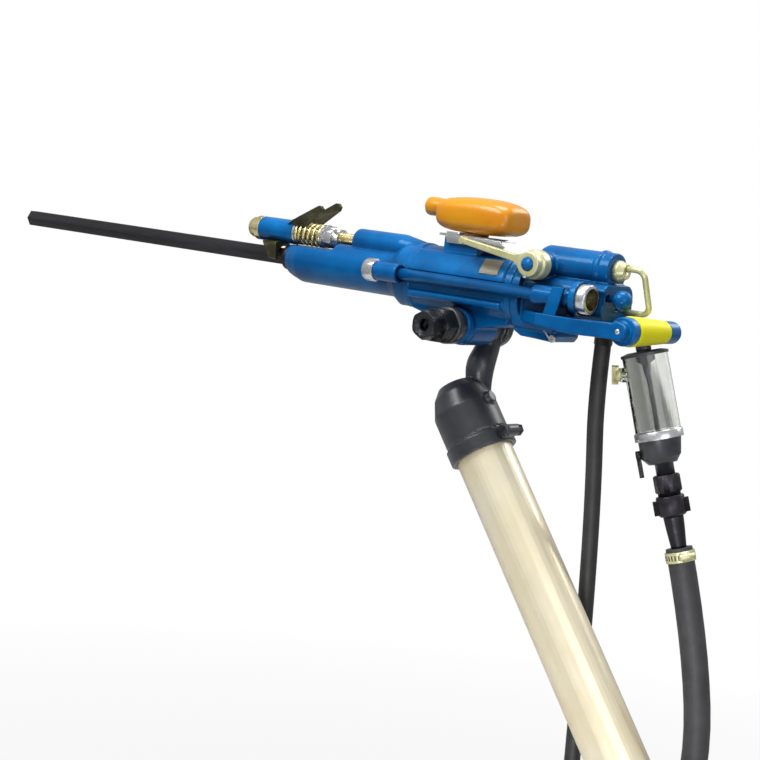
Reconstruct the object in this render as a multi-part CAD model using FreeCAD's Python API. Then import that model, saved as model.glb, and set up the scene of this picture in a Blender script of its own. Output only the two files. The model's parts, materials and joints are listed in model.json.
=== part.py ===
import FreeCAD, Part
import math
import os

# A hand-held rock drill on an air leg. Millimetres. The drill's axis lies along X, with the cut end of
# the drill steel at the origin and the handle towards +X. +Z is up and +Y is the far side.
os.makedirs("parts", exist_ok=True)

# Driving dimensions of the whole machine
steel_out = 549.0  # drill steel from its cut end to the front head's nose
steel_flats = 22.0
head_length = 226.0
cylinder_length = 170.0
back_length = 128.0
cylinder_radius = 46.0
bore_radius = 35.0
stroke = 70.0
leg_lean = 36.7  # degrees from upright, foot towards the operator
leg_length = 1320.0  # closed, from the top of the leg head's cap to the foot's point
leg_tube_radius = 37.5
leg_reach = 200.0  # what the head and the foot add to the outer tube's length
leg_tube_length = leg_length - leg_reach
leg_travel = 900.0
tie_rod_side = 50.0
tie_rod_radius = 7.5
handle_half_width = 67.5
air_hose_radius = 16.5
water_hose_radius = 10.5

# Shared clearances
curved_gap = 0.35  # between a turning or sliding piece and its round seat
snug_gap = 0.12  # between a fixed piece and its round seat
face_gap = 0.3  # between the flat faces of a moving and a fixed piece
overrun = 2.0  # how far a cutting tool runs past the face it opens

# Places along the drill's axis that the pieces share
nose_x = steel_out
cylinder_x = nose_x + head_length
back_x = cylinder_x + cylinder_length
rear_x = back_x + back_length

AX = FreeCAD.Vector(1, 0, 0)
AY = FreeCAD.Vector(0, 1, 0)
AZ = FreeCAD.Vector(0, 0, 1)


def at(x, y=0, z=0):
    return FreeCAD.Vector(x, y, z)


def rod(radius, length, place, way=AX):
    return Part.makeCylinder(radius, length, place, way)


def tube(outer, inner, length, place, way=AX):
    bore = rod(inner, length + 2 * overrun, place - way * overrun, way)
    return rod(outer, length, place, way).cut(bore)


def block(x0, x1, y0, y1, z0, z1):
    return Part.makeBox(x1 - x0, y1 - y0, z1 - z0, at(x0, y0, z0))


def turned(profile, place, way=AX):
    """A solid of revolution: profile is (along, radius) pairs, closed back to the axis."""
    points = [at(0, r, a) for a, r in profile]
    points = [at(0, 0, profile[0][0])] + points + [at(0, 0, profile[-1][0])]
    clean = [p for i, p in enumerate(points) if i == 0 or (p - points[i - 1]).Length > 0]
    face = Part.Face(Part.makePolygon(clean + [clean[0]]))
    solid = face.revolve(at(0), AZ, 360)
    return aimed(solid, place, way)


def aimed(solid, place, way):
    """Turn a solid modelled along +Z to point along way, at place."""
    solid = solid.copy()
    turn = FreeCAD.Rotation(AZ, way)
    solid.Placement = FreeCAD.Placement(place, turn).multiply(solid.Placement)
    return solid


def polygon(points):
    return Part.Face(Part.makePolygon(points + [points[0]]))


def side_plate(outline, y0, y1):
    """A plate of constant thickness across Y, from an outline of (x, z) pairs."""
    return polygon([at(x, y0, z) for x, z in outline]).extrude(at(0, y1 - y0, 0))


def end_plate(outline, x0, x1):
    """A plate of constant thickness along X, from an outline of (y, z) pairs."""
    return polygon([at(x0, y, z) for y, z in outline]).extrude(at(x1 - x0, 0, 0))


def hexagon(flats, length, place, way=AX, turn=0):
    """A six-sided bar modelled along +Z, turned about its own axis by turn degrees, and aimed."""
    corner = flats / math.sqrt(3)
    ring = [
        at(corner * math.cos(math.radians(60 * k + turn)), corner * math.sin(math.radians(60 * k + turn)), 0)
        for k in range(6)
    ]
    return aimed(polygon(ring).extrude(at(0, 0, length)), place, way)


def hex_bar(flats, length, x, y=0, z=0):
    """A six-sided bar along X with two flats level and a corner to each side."""
    corner = flats / math.sqrt(3)
    ring = [
        at(x, y + corner * math.cos(math.radians(60 * k)), z + corner * math.sin(math.radians(60 * k)))
        for k in range(6)
    ]
    return polygon(ring).extrude(at(length, 0, 0))


def nut(flats, bore, length, place, way=AX, turn=0):
    """A hexagon nut with its corners rounded off at both ends and a plain bore."""
    corner = flats / math.sqrt(3)
    drop = (corner - flats / 2) * nut_corner_share
    body = hexagon(flats, length, at(0), AZ, turn)
    dome = turned(
        [(0, corner - drop), (drop, corner), (length - drop, corner), (length, corner - drop)], at(0), AZ
    )
    body = body.common(dome).cut(rod(bore, length + 2 * overrun, at(0, 0, -overrun), AZ))
    return aimed(body, place, way)


nut_corner_share = 0.8


def joined(pieces):
    solid = pieces[0]
    for piece in pieces[1:]:
        solid = solid.fuse(piece)
    return solid.removeSplitter()


def bent_rod(radius, points, bend):
    """A round bar along straight runs joined by tangent arcs of one bend radius."""
    edges, start = [], points[0]
    for i in range(1, len(points) - 1):
        before, after = (points[i - 1] - points[i]).normalize(), (points[i + 1] - points[i]).normalize()
        half = (math.pi - before.getAngle(after)) / 2
        reach = bend * math.tan(half)
        first, last = points[i] + before * reach, points[i] + after * reach
        inward = (before + after).normalize()
        middle = points[i] + inward * (bend / math.cos(half) - bend)
        edges += [Part.LineSegment(start, first).toShape(), Part.Arc(first, middle, last).toShape()]
        start = last
    edges.append(Part.LineSegment(start, points[-1]).toShape())
    path = Part.Wire(edges)
    ring = Part.Wire([Part.makeCircle(radius, points[0], points[1] - points[0])])
    return path.makePipeShell([ring], True, False)


def rounded_ring(x, half, low, high, radius):
    """A rectangle across X with its four corners rounded, centred on Y."""
    k = radius * (1 - math.sqrt(0.5))
    edges = []
    for ys, zs, corner in ((1, low, 1), (1, high, -1), (-1, high, -1), (-1, low, 1)):
        flat = at(x, ys * (half - radius), zs)
        bent = at(x, ys * (half - k), zs + corner * k)
        side = at(x, ys * half, zs + corner * radius)
        ends = (flat, side) if (ys > 0) == (corner > 0) else (side, flat)
        edges.append((ends[0], bent, ends[1]))
    loop = []
    for i, (start, bent, end) in enumerate(edges):
        loop.append(Part.Arc(start, bent, end).toShape())
        loop.append(Part.LineSegment(end, edges[(i + 1) % 4][0]).toShape())
    return Part.Wire(loop)


def rounded_bar(x0, x1, half, low, high, radius):
    return Part.Face(rounded_ring(x0, half, low, high, radius)).extrude(at(x1 - x0, 0, 0))


def save(name, shape):
    solids = shape.Solids
    out = Part.makeCompound(solids) if len(solids) > 1 else solids[0]
    out.exportStep("parts/" + name + ".step")
    print(name, len(solids), round(shape.Volume))


# Drill steel: hexagon bar with a flushing hole, a forged collar and a shank
flush_hole_radius = 3.4
collar_radius = 17.5
collar_length = 11.0
collar_gap = 0.5  # between the collar and the front head's nose
collar_chamfer = 2.5
shank_length = 108.0
shank_x = nose_x - collar_gap  # rear face of the collar, where the shank starts
shank_end_x = shank_x + shank_length


def drill_steel():
    bar = hex_bar(steel_flats, shank_end_x, 0)
    collar = turned(
        [
            (0, collar_radius - collar_chamfer),
            (collar_chamfer, collar_radius),
            (collar_length - collar_chamfer, collar_radius),
            (collar_length, collar_radius - collar_chamfer),
        ],
        at(shank_x - collar_length),
    )
    hole = rod(flush_hole_radius, shank_end_x + 2 * overrun, at(-overrun))
    return bar.fuse(collar).cut(hole)


# Rotation sleeve in the front head, with the hexagon bush that turns the steel
sleeve_setback = 9.0  # behind the nose
sleeve_radius = 21.5
sleeve_front_radius = 16.3  # slimmer under the retainer's spring
sleeve_front_length = 84.0
stem_radius = 17.0  # the piston's front stem
guide_radius = 29.0  # guide bush's outside
guide_length = 30.0
sleeve_end_gap = 6.0
sleeve_x = nose_x + sleeve_setback
sleeve_length = cylinder_x - guide_length - sleeve_end_gap - sleeve_x
sleeve_end_x = sleeve_x + sleeve_length
bush_radius = 14.7
bush_length = 62.0
shank_way_radius = 13.4
hex_play = 0.25


def rotation_sleeve():
    body = turned(
        [
            (0, sleeve_front_radius),
            (sleeve_front_length, sleeve_front_radius),
            (sleeve_front_length, sleeve_radius),
            (sleeve_length, sleeve_radius),
        ],
        at(sleeve_x),
    )
    seat = rod(bush_radius + snug_gap, bush_length + overrun, at(sleeve_x - overrun))
    middle = rod(shank_way_radius, sleeve_length, at(sleeve_x))
    rear = rod(stem_radius + curved_gap, sleeve_length, at(sleeve_x + sleeve_front_length + 2 * overrun))
    return body.cut(seat).cut(middle).cut(rear)


def chuck_bush():
    body = rod(bush_radius, bush_length - face_gap, at(sleeve_x))
    return body.cut(hex_bar(steel_flats + 2 * hex_play, bush_length + 2 * overrun, sleeve_x - overrun))


# Front head casting
retainer_z = 35.0  # height of the retainer bolt above the drill's axis
head_nose_radius = 20.5
head_lip = 10.0  # length of the rounded nose
head_front_radius = 26.0
head_body_radius = 31.0
head_swell_start = 190.0  # from the nose to where the body widens to the flange
head_flange_thick = 18.0
bolt_boss_radius = 17.5
bolt_boss_set = 112.0  # from the nose
bolt_boss_x = nose_x + bolt_boss_set
bolt_boss_tail = 34.0  # taper of the boss into the cylinder's flange
lug_radius = 12.5
lug_length = 37.0
lug_front_x = cylinder_x - lug_length
lug_z = 3.0
nose_bore_radius = 14.5
head_flange_radius = 42.5
flange_flat = 39.0  # below the axis, where the flanges are cut flat
shelf_length = 86.0  # flat top under the retainer's spring and nuts
bolt_trough_radius = 12.0
retainer_bolt_radius = 8.0
web_half = 8.0


def bottom_flat(x0, x1):
    """What is taken off the underside of the two flanges at the cylinder's front."""
    return block(x0, x1, -cylinder_radius, cylinder_radius, -2 * cylinder_radius, -flange_flat)


def front_head():
    swell = head_length - head_flange_thick
    body = turned(
        [
            (0, head_nose_radius),
            (head_lip * 0.35, (head_nose_radius + head_front_radius) / 2),
            (head_lip, head_front_radius),
            (head_lip * 2.6, head_body_radius),
            (head_swell_start, head_body_radius + snug_gap),
            (swell, head_flange_radius),
            (head_length, head_flange_radius),
        ],
        at(nose_x),
    )
    boss_length = cylinder_x - bolt_boss_x
    boss = turned(
        [
            (0, bolt_boss_radius - collar_chamfer),
            (collar_chamfer, bolt_boss_radius),
            (boss_length - bolt_boss_tail, bolt_boss_radius),
            (boss_length, cylinder_radius - retainer_z),
        ],
        at(bolt_boss_x, 0, retainer_z),
    )
    web = block(bolt_boss_x + collar_chamfer, cylinder_x, -web_half, web_half, 0, retainer_z)
    pieces = [body, boss, web]
    for side in (-1, 1):
        lug = rod(lug_radius, lug_length, at(lug_front_x, side * tie_rod_side, lug_z))
        arm = block(lug_front_x, cylinder_x, 0, tie_rod_side, lug_z - web_half, lug_z + web_half)
        if side < 0:
            arm = arm.mirror(at(0), AY)
        pieces += [lug, arm]
    body = joined(pieces)
    chamber_length = cylinder_x - guide_length - sleeve_x - sleeve_front_length + face_gap
    cuts = [
        rod(nose_bore_radius, head_length, at(nose_x - overrun)),
        rod(sleeve_front_radius + curved_gap, sleeve_length, at(sleeve_x - face_gap)),
        rod(sleeve_radius + curved_gap, chamber_length, at(cylinder_x - guide_length - chamber_length)),
        rod(bolt_trough_radius, bolt_boss_set, at(nose_x, 0, retainer_z)),
        block(
            nose_x - overrun,
            nose_x + shelf_length,
            -2 * head_body_radius,
            2 * head_body_radius,
            retainer_z - retainer_tube_radius - curved_gap,
            2 * head_body_radius,
        ),
        bottom_flat(nose_x + head_swell_start, cylinder_x + overrun),
        rod(guide_radius + snug_gap, guide_length + overrun, at(cylinder_x - guide_length)),
        rod(retainer_bolt_radius + snug_gap, bolt_thread_depth, at(bolt_boss_x - overrun, 0, retainer_z)),
    ]
    for side in (-1, 1):
        cuts.append(
            rod(
                tie_rod_radius + snug_gap,
                lug_length + 2 * overrun,
                at(lug_front_x - overrun, side * tie_rod_side, lug_z),
            )
        )
    for tool in cuts:
        body = body.cut(tool)
    return body


def guide_bush():
    return tube(guide_radius, stem_radius + curved_gap, guide_length - snug_gap, at(cylinder_x - guide_length))


# Steel retainer on its bolt: cap, tube, spring, nuts
bolt_out = 84.0  # from the nose to the front of the bolt's cap
bolt_front_x = nose_x - bolt_out
cap_radius = 14.0
cap_length = 15.0
retainer_tube_radius = 16.3
retainer_tube_x = bolt_front_x + cap_length + face_gap
retainer_tube_length = 72.0
spring_radius = 13.5  # to the middle of the wire
spring_wire_radius = 2.4
spring_turns = 5
spring_length = 47.0
bolt_nut_flats = 26.0
bolt_nut_length = 15.0
lock_nut_flats = 24.0
lock_nut_length = 11.0
washer_length = 3.0
washer_radius = 16.0
bolt_thread_depth = 40.0
spring_x = retainer_tube_x + retainer_tube_length + face_gap + washer_length
spring_end_x = spring_x + spring_length
bolt_nut_x = spring_end_x + washer_length
jaw_gap = 7.0  # free slide of the drill steel's collar before it meets the claw
jaw_top_length = 27.0  # along X where the claw leaves the sleeve
jaw_tip_length = 13.0
jaw_drop = 40.0  # from the bolt's axis to the claw's tip
jaw_side = 26.0  # from the bolt's axis to the claw's near side
jaw_slot_gap = 2.2  # around the drill steel's corners
prong_side = 18.5
prong_thick = 6.0
prong_width = 13.0
prong_low = 15.0  # from the bolt's axis to the middle of the prongs' root
prong_rise = 27.0
prong_run = 46.0
prong_root = 14.0
prong_set = 8.0  # how far the prongs' root stands behind the tube's end
jaw_rear_x = shank_x - collar_length - jaw_gap


def retainer_bolt():
    cap = turned(
        [
            (0, cap_radius * 0.55),
            (cap_length * 0.2, cap_radius * 0.85),
            (cap_length * 0.45, cap_radius),
            (cap_length, cap_radius),
        ],
        at(bolt_front_x, 0, retainer_z),
    )
    stop = bolt_boss_x + bolt_thread_depth - 2 * overrun
    shank = rod(retainer_bolt_radius, stop - bolt_front_x - cap_length, at(bolt_front_x + cap_length, 0, retainer_z))
    return cap.fuse(shank)


def steel_retainer():
    bolt = at(retainer_tube_x, 0, retainer_z)
    sleeve = turned(
        [
            (0, retainer_tube_radius - collar_chamfer),
            (collar_chamfer, retainer_tube_radius),
            (retainer_tube_length, retainer_tube_radius),
        ],
        bolt,
    )
    seat_radius = steel_flats / math.sqrt(3) + jaw_slot_gap
    profile = side_plate(
        [
            (jaw_rear_x - jaw_top_length, retainer_z),
            (jaw_rear_x, retainer_z),
            (jaw_rear_x, retainer_z - jaw_drop),
            (jaw_rear_x - jaw_tip_length, retainer_z - jaw_drop),
            (jaw_rear_x - jaw_top_length, retainer_z - jaw_drop / 3),
        ],
        -jaw_side,
        jaw_side,
    )
    outline = end_plate(
        [
            (retainer_tube_radius * 0.9, retainer_z),
            (-retainer_tube_radius, retainer_z),
            (-jaw_side, retainer_z - jaw_drop * 0.3),
            (-jaw_side, retainer_z - jaw_drop * 0.62),
            (-jaw_side * 0.8, retainer_z - jaw_drop * 0.95),
            (-jaw_side * 0.65, retainer_z - jaw_drop),
            (-jaw_side * 0.2, retainer_z - jaw_drop),
            (seat_radius * 0.8, retainer_z - retainer_tube_radius * 0.8),
        ],
        jaw_rear_x - jaw_top_length - overrun,
        jaw_rear_x + overrun,
    )
    claw = profile.common(outline).cut(rod(seat_radius, jaw_rear_x, at(0)))
    pieces = [sleeve, claw]
    tube_end = retainer_tube_x + retainer_tube_length
    root_x = tube_end + prong_set
    low = retainer_z + prong_low
    for side in (-1, 1):
        y0 = min(side * prong_side, side * (prong_side + prong_thick))
        blade = side_plate(
            [
                (tube_end - prong_root, low - prong_width / 2),
                (root_x, low - prong_width / 2),
                (root_x + prong_run, low + prong_rise - prong_width * 0.4),
                (root_x + prong_run + prong_width * 0.15, low + prong_rise),
                (root_x + prong_run - prong_width * 0.2, low + prong_rise + prong_width * 0.35),
                (root_x + prong_run - prong_width * 0.5, low + prong_rise + prong_width * 0.35),
                (root_x - prong_root * 0.4, low + prong_width / 2),
                (tube_end - prong_root, low + prong_width * 0.3),
            ],
            y0,
            y0 + prong_thick,
        )
        pieces.append(blade)
    bridge = block(
        tube_end - prong_root,
        tube_end,
        -prong_side - prong_thick,
        prong_side + prong_thick,
        low - prong_width / 2,
        low + prong_width * 0.3,
    )
    pieces.append(bridge)
    body = joined(pieces)
    hole = rod(
        retainer_bolt_radius + curved_gap,
        retainer_tube_length + 2 * overrun,
        at(retainer_tube_x - overrun, 0, retainer_z),
    )
    return body.cut(hole)


def arc_from(start, heading, end):
    """The arc that leaves start along heading and ends at end."""
    chord = end - start
    along = FreeCAD.Vector(chord).normalize()
    side = heading - along * heading.dot(along)
    if side.Length < 1e-9:
        return Part.LineSegment(start, end).toShape()
    angle = heading.getAngle(chord)
    middle = (start + end) * 0.5 + side.normalize() * (chord.Length / 2 * math.tan(angle / 2))
    return Part.Arc(start, middle, end).toShape()


def biarc(start, heading, end, arriving):
    """Two tangent arcs that join start to end with the given directions."""
    span = end - start
    both = heading + arriving
    spread = 2 * (1 - heading.dot(arriving))
    reach = (-span.dot(both) + math.sqrt(span.dot(both) ** 2 + spread * span.dot(span))) / spread
    joint = (start + end + (heading - arriving) * reach) * 0.5
    first = arc_from(start, heading, joint)
    return [first, arc_from(joint, first.tangentAt(first.LastParameter).normalize(), end)]


def piped(edges, radius):
    """One unbroken round bar along a chain of edges."""
    ring = Part.Wire([Part.makeCircle(radius, edges[0].firstVertex().Point, edges[0].tangentAt(0))])
    return Part.Wire(edges).makePipeShell([ring], True, False)


def least_gap(place_at, count, turn_steps, radius):
    """The smallest clear space between one turn and the next, measured on points."""
    spots = [place_at(k) for k in range(count + 1)]
    skip = int(turn_steps * 0.6)
    near = min(
        ((spots[i] - spots[j]).Length for i in range(count + 1) for j in range(i + skip, count + 1)),
        default=4 * radius,
    )
    return near - 2 * radius


def wound_spring(radius, wire, turns, length, place):
    """An open spring along X, one quarter turn at a time."""
    pitch = (length - 2 * wire) / turns

    def spot(angle):
        return place + at(wire + pitch * angle / (2 * math.pi), radius * math.cos(angle), radius * math.sin(angle))

    def heading(angle):
        return at(pitch / (2 * math.pi), -radius * math.sin(angle), radius * math.cos(angle)).normalize()

    edges = []
    for k in range(int(turns * 4)):
        a, b = math.pi / 2 * k, math.pi / 2 * (k + 1)
        edges += biarc(spot(a), heading(a), spot(b), heading(b))
    gap = least_gap(lambda k: spot(math.pi / 12 * k), int(turns * 24), 24, wire)
    print("spring self gap", round(gap, 2))
    return piped(edges, wire)


def retainer_spring():
    return wound_spring(
        spring_radius, spring_wire_radius, spring_turns, spring_length, at(spring_x, 0, retainer_z)
    )


def retainer_nuts():
    front_washer = tube(
        washer_radius, retainer_bolt_radius + snug_gap, washer_length, at(spring_x - washer_length, 0, retainer_z)
    )
    washer = tube(washer_radius, retainer_bolt_radius + snug_gap, washer_length, at(spring_end_x, 0, retainer_z))
    first = nut(bolt_nut_flats, retainer_bolt_radius + snug_gap, bolt_nut_length, at(bolt_nut_x, 0, retainer_z))
    second = nut(
        lock_nut_flats,
        retainer_bolt_radius + snug_gap,
        lock_nut_length,
        at(bolt_nut_x + bolt_nut_length, 0, retainer_z),
        AX,
        30,
    )
    return Part.makeCompound([front_washer, washer, first, second])


# Cylinder casting with the raised side panels, the ribs and the air leg's boss
pivot_set = 90.0
pivot_x = cylinder_x + pivot_set
pivot_z = -52.0
pivot_boss_radius = 25.0
pivot_boss_near = -29.0
pivot_boss_far = 20.0
pivot_shaft_radius = 14.0
barrel_relief = 30.0
neck_hub_radius = 20.0
panel_rise = 3.0
panel_margin = 12.0
panel_bevel = 9.0
panel_low = 10.0
panel_high = 38.0
rib_radius = 5.5
rib_z = -19.0
rib_side = 42.0
saddle_half = 27.0
saddle_height = 59.0
valve_chest_length = 20.0
cylinder_front_wall = 10.0
waist = 2.0  # how far the barrel lies below its end flanges
exhaust_set = 74.0
exhaust_x = cylinder_x + exhaust_set
exhaust_radius = 13.0


def cylinder():
    body = turned(
        [
            (0, cylinder_radius),
            (cylinder_front_wall, cylinder_radius),
            (cylinder_front_wall, cylinder_radius - waist),
            (cylinder_length - cylinder_front_wall, cylinder_radius - waist),
            (cylinder_length - cylinder_front_wall, cylinder_radius),
            (cylinder_length, cylinder_radius),
        ],
        at(cylinder_x),
    )
    pieces = [body]
    x0, x1 = cylinder_x + panel_margin, back_x - panel_margin
    for side in (-1, 1):
        outer = cylinder_radius + panel_rise
        pad = block(x0, x1, 0, outer, panel_low, panel_high)
        pad = pad.common(rod(outer, cylinder_length, at(cylinder_x)))
        rib = rod(rib_radius, cylinder_length - 2 * panel_margin, at(x0, rib_side, rib_z))
        if side < 0:
            pad, rib = pad.mirror(at(0), AY), rib.mirror(at(0), AY)
        pieces += [pad, rib]
    saddle = block(
        exhaust_x - saddle_half, exhaust_x + saddle_half, -saddle_half, saddle_half, 0, saddle_height
    )
    boss = rod(pivot_boss_radius, pivot_boss_far - pivot_boss_near, at(pivot_x, pivot_boss_near, pivot_z), AY)
    keel = side_plate(
        [
            (cylinder_x + cylinder_front_wall, 0),
            (cylinder_x + cylinder_front_wall, -flange_flat),
            (pivot_x - pivot_boss_radius, pivot_z),
            (pivot_x + pivot_boss_radius, pivot_z),
            (back_x - cylinder_front_wall, -cylinder_radius + panel_rise),
            (back_x - cylinder_front_wall, 0),
        ],
        pivot_boss_near,
        pivot_boss_far,
    )
    pieces += [saddle, boss, keel]
    body = joined(pieces)
    inner = cylinder_x + cylinder_front_wall
    cuts = [
        rod(bore_radius, cylinder_length, at(inner)),
        rod(stem_radius + 2 * curved_gap, cylinder_length, at(cylinder_x - overrun)),
        rod(pivot_shaft_radius + curved_gap, 4 * pivot_boss_radius, at(pivot_x, -2 * pivot_boss_radius, pivot_z), AY),
        rod(exhaust_radius, saddle_height, at(exhaust_x, 0, bore_radius / 2), AZ),
        rod(shaft_barrel_radius + curved_gap, barrel_relief, at(pivot_x, pivot_boss_near - barrel_relief, pivot_z), AY),
        rod(neck_hub_radius + curved_gap, barrel_relief, at(pivot_x, pivot_boss_far, pivot_z), AY),
        bottom_flat(cylinder_x - overrun, cylinder_x + cylinder_front_wall),
    ]
    for side in (-1, 1):
        spot = at(cylinder_x - overrun, side * tie_rod_side, lug_z)
        cuts.append(rod(tie_rod_radius + snug_gap, cylinder_length + 2 * overrun, spot))
    for tool in cuts:
        body = body.cut(tool)
    return body


# Piston, rifle nut, rifle bar and ratchet
piston_length = 44.0
piston_rear_gap = 3.0
rifle_radius = 11.0
rifle_flute = 1.8
rifle_flutes = 6
rifle_twist = 40.0
piston_hole_radius = 13.5
rifle_nut_length = 26.0
rifle_nut_radius = 19.0
piston_end_x = back_x - valve_chest_length - piston_rear_gap
piston_x = piston_end_x - piston_length
stem_front_x = shank_end_x + stroke + collar_gap
needle_radius = 2.6


def piston():
    groove = collar_chamfer / 2
    body = turned(
        [
            (0, bore_radius - curved_gap - groove),
            (groove, bore_radius - curved_gap),
            (piston_length - groove, bore_radius - curved_gap),
            (piston_length, bore_radius - curved_gap - groove),
        ],
        at(piston_x),
    )
    stem = rod(stem_radius, piston_x - stem_front_x, at(stem_front_x))
    body = joined([body, stem])
    hollow = rod(piston_hole_radius, piston_end_x, at(stem_front_x + stem_radius * 2))
    seat = rod(rifle_nut_radius + snug_gap, rifle_nut_length + overrun, at(piston_end_x - rifle_nut_length))
    way = rod(2 * needle_radius, piston_end_x, at(stem_front_x - overrun))
    return body.cut(hollow).cut(seat).cut(way)


def rifle_nut():
    return tube(rifle_nut_radius, rifle_radius + curved_gap, rifle_nut_length, at(piston_end_x - rifle_nut_length))


rifle_front_x = piston_x - stroke / 2
carrier_set = 6.0
carrier_x = back_x + carrier_set
carrier_length = 15.0
carrier_radius = 19.0
ratchet_outer = 34.0
ratchet_inner = 26.0
ratchet_teeth = 24
ratchet_depth = 2.4
ratchet_length = 15.0
pawl_length = 12.0
pawl_thick = 4.0


def rifle_bar():
    def star(angle, x):
        ring = []
        for k in range(2 * rifle_flutes):
            r = rifle_radius if k % 2 else rifle_radius - rifle_flute
            for shift in (-0.3, 0.3):
                a = math.radians(angle + (k + shift) * 180 / rifle_flutes)
                ring.append(at(x, r * math.cos(a), r * math.sin(a)))
        return Part.makePolygon(ring + [ring[0]])

    span = carrier_x - rifle_front_x
    sections = [star(rifle_twist * k / 3, rifle_front_x + span * k / 3) for k in range(4)]
    bar = Part.makeLoft(sections, True, True)
    carrier = rod(carrier_radius, carrier_length, at(carrier_x))
    body = bar.fuse(carrier)
    for k in range(4):
        a = math.radians(90 * k + 45)
        spot = at(carrier_x - overrun, carrier_radius * math.cos(a), carrier_radius * math.sin(a))
        body = body.cut(rod(pawl_thick / 2 + curved_gap, carrier_length + 2 * overrun, spot))
    way = rod(2 * needle_radius, span + carrier_length + 2 * overrun, at(rifle_front_x - overrun))
    return body.cut(way)


def ratchet_ring():
    ring = []
    for k in range(ratchet_teeth):
        a0, a1 = 2 * math.pi * k / ratchet_teeth, 2 * math.pi * (k + 0.88) / ratchet_teeth
        ring.append(at(carrier_x - overrun, ratchet_inner * math.cos(a0), ratchet_inner * math.sin(a0)))
        deep = ratchet_inner + ratchet_depth
        ring.append(at(carrier_x - overrun, deep * math.cos(a1), deep * math.sin(a1)))
    hole = polygon(ring).extrude(at(ratchet_length + 2 * overrun, 0, 0))
    return rod(ratchet_outer, ratchet_length, at(carrier_x)).cut(hole)


def pawl(k):
    """One pawl: a round heel in the carrier's socket and a tapered blade towards the ratchet."""
    heel = rod(pawl_thick / 2, pawl_length, at(carrier_x + face_gap))
    tip = ratchet_inner - carrier_radius - curved_gap
    blade = end_plate(
        [
            (0, -pawl_thick / 2),
            (tip, pawl_thick * 0.35),
            (tip * 0.9, pawl_thick * 0.65),
            (0, pawl_thick / 2),
        ],
        carrier_x + face_gap,
        carrier_x + face_gap + pawl_length,
    )
    body = heel.fuse(blade)
    body.translate(at(0, carrier_radius, 0))
    body.rotate(at(0), AX, 90 * k + 45)
    return body


def valve_chest():
    """The chest in the cylinder's end, with the flap valve's pocket, and the plate behind it."""
    length = valve_chest_length - face_gap
    way = rifle_radius + 2 * curved_gap
    chest = tube(bore_radius - snug_gap, way, length, at(back_x - valve_chest_length))
    chest = chest.cut(rod(valve_radius + curved_gap, valve_length + valve_play, at(valve_x)))
    cover = tube(bore_radius - snug_gap, way, carrier_x - back_x - face_gap - snug_gap, at(back_x))
    return Part.makeCompound([chest, cover])


valve_radius = 24.0
valve_length = 6.0
valve_play = 5.0
valve_set = 5.0
valve_x = back_x - valve_chest_length + valve_set


def flap_valve():
    hub = rifle_radius + 2 * curved_gap + overrun
    return tube(valve_radius, hub, valve_length, at(valve_x + face_gap))


# Back head casting
barrel_z = 41.0
barrel_radius = 23.0
barrel_ridge_set = 26.0
barrel_ridge_x = rear_x - barrel_ridge_set
barrel_ridge = 2.2
barrel_ridge_length = 5.0
barrel_set = 24.0
barrel_front_x = back_x + barrel_set
barrel_setback = 6.0  # the barrel ends before the rear face
barrel_end_x = rear_x - barrel_setback
block_half = 35.0
block_top = 26.0
block_bottom = -46.0
rear_bottom = -24.0  # higher behind the belly, over the water port
rear_step = 48.0
rear_step_x = rear_x - rear_step
belly_set = 55.0
belly_x = rear_x - belly_set
belly_z = -54.0
hub_set = 32.0
hub_x = back_x + hub_set
hub_z = 38.5
hub_radius = 17.0
hub_near = -33.0
hub_far = 31.0
spindle_radius = 8.0
rear_lug_set = 41.0
rear_lug_x = back_x + rear_lug_set
rear_lug_length = 36.0
back_flange = 12.0
pocket_length = carrier_set + carrier_length + 2 * overrun
port_set = 27.0
port_x = rear_x - port_set
port_y = -48.0
port_z = 6.0
port_boss_length = 9.0
port_boss_wall = 2.5
button_y = -22.0
button_z = 9.0
button_boss_radius = 8.0
inlet_clear = 34.5  # from the handle's outer face in to the inlet
inlet_y = handle_half_width - inlet_clear
inlet_z = -20.0
inlet_boss_radius = 13.5
inlet_bore_radius = 8.0
inlet_boss_length = 17.0
needle_boss_radius = 15.0
water_port_set = 31.0
water_port_x = rear_x - water_port_set
water_port_y = 30.0
water_port_radius = 11.0
water_port_z = -26.0
water_bore_radius = 5.0


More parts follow.
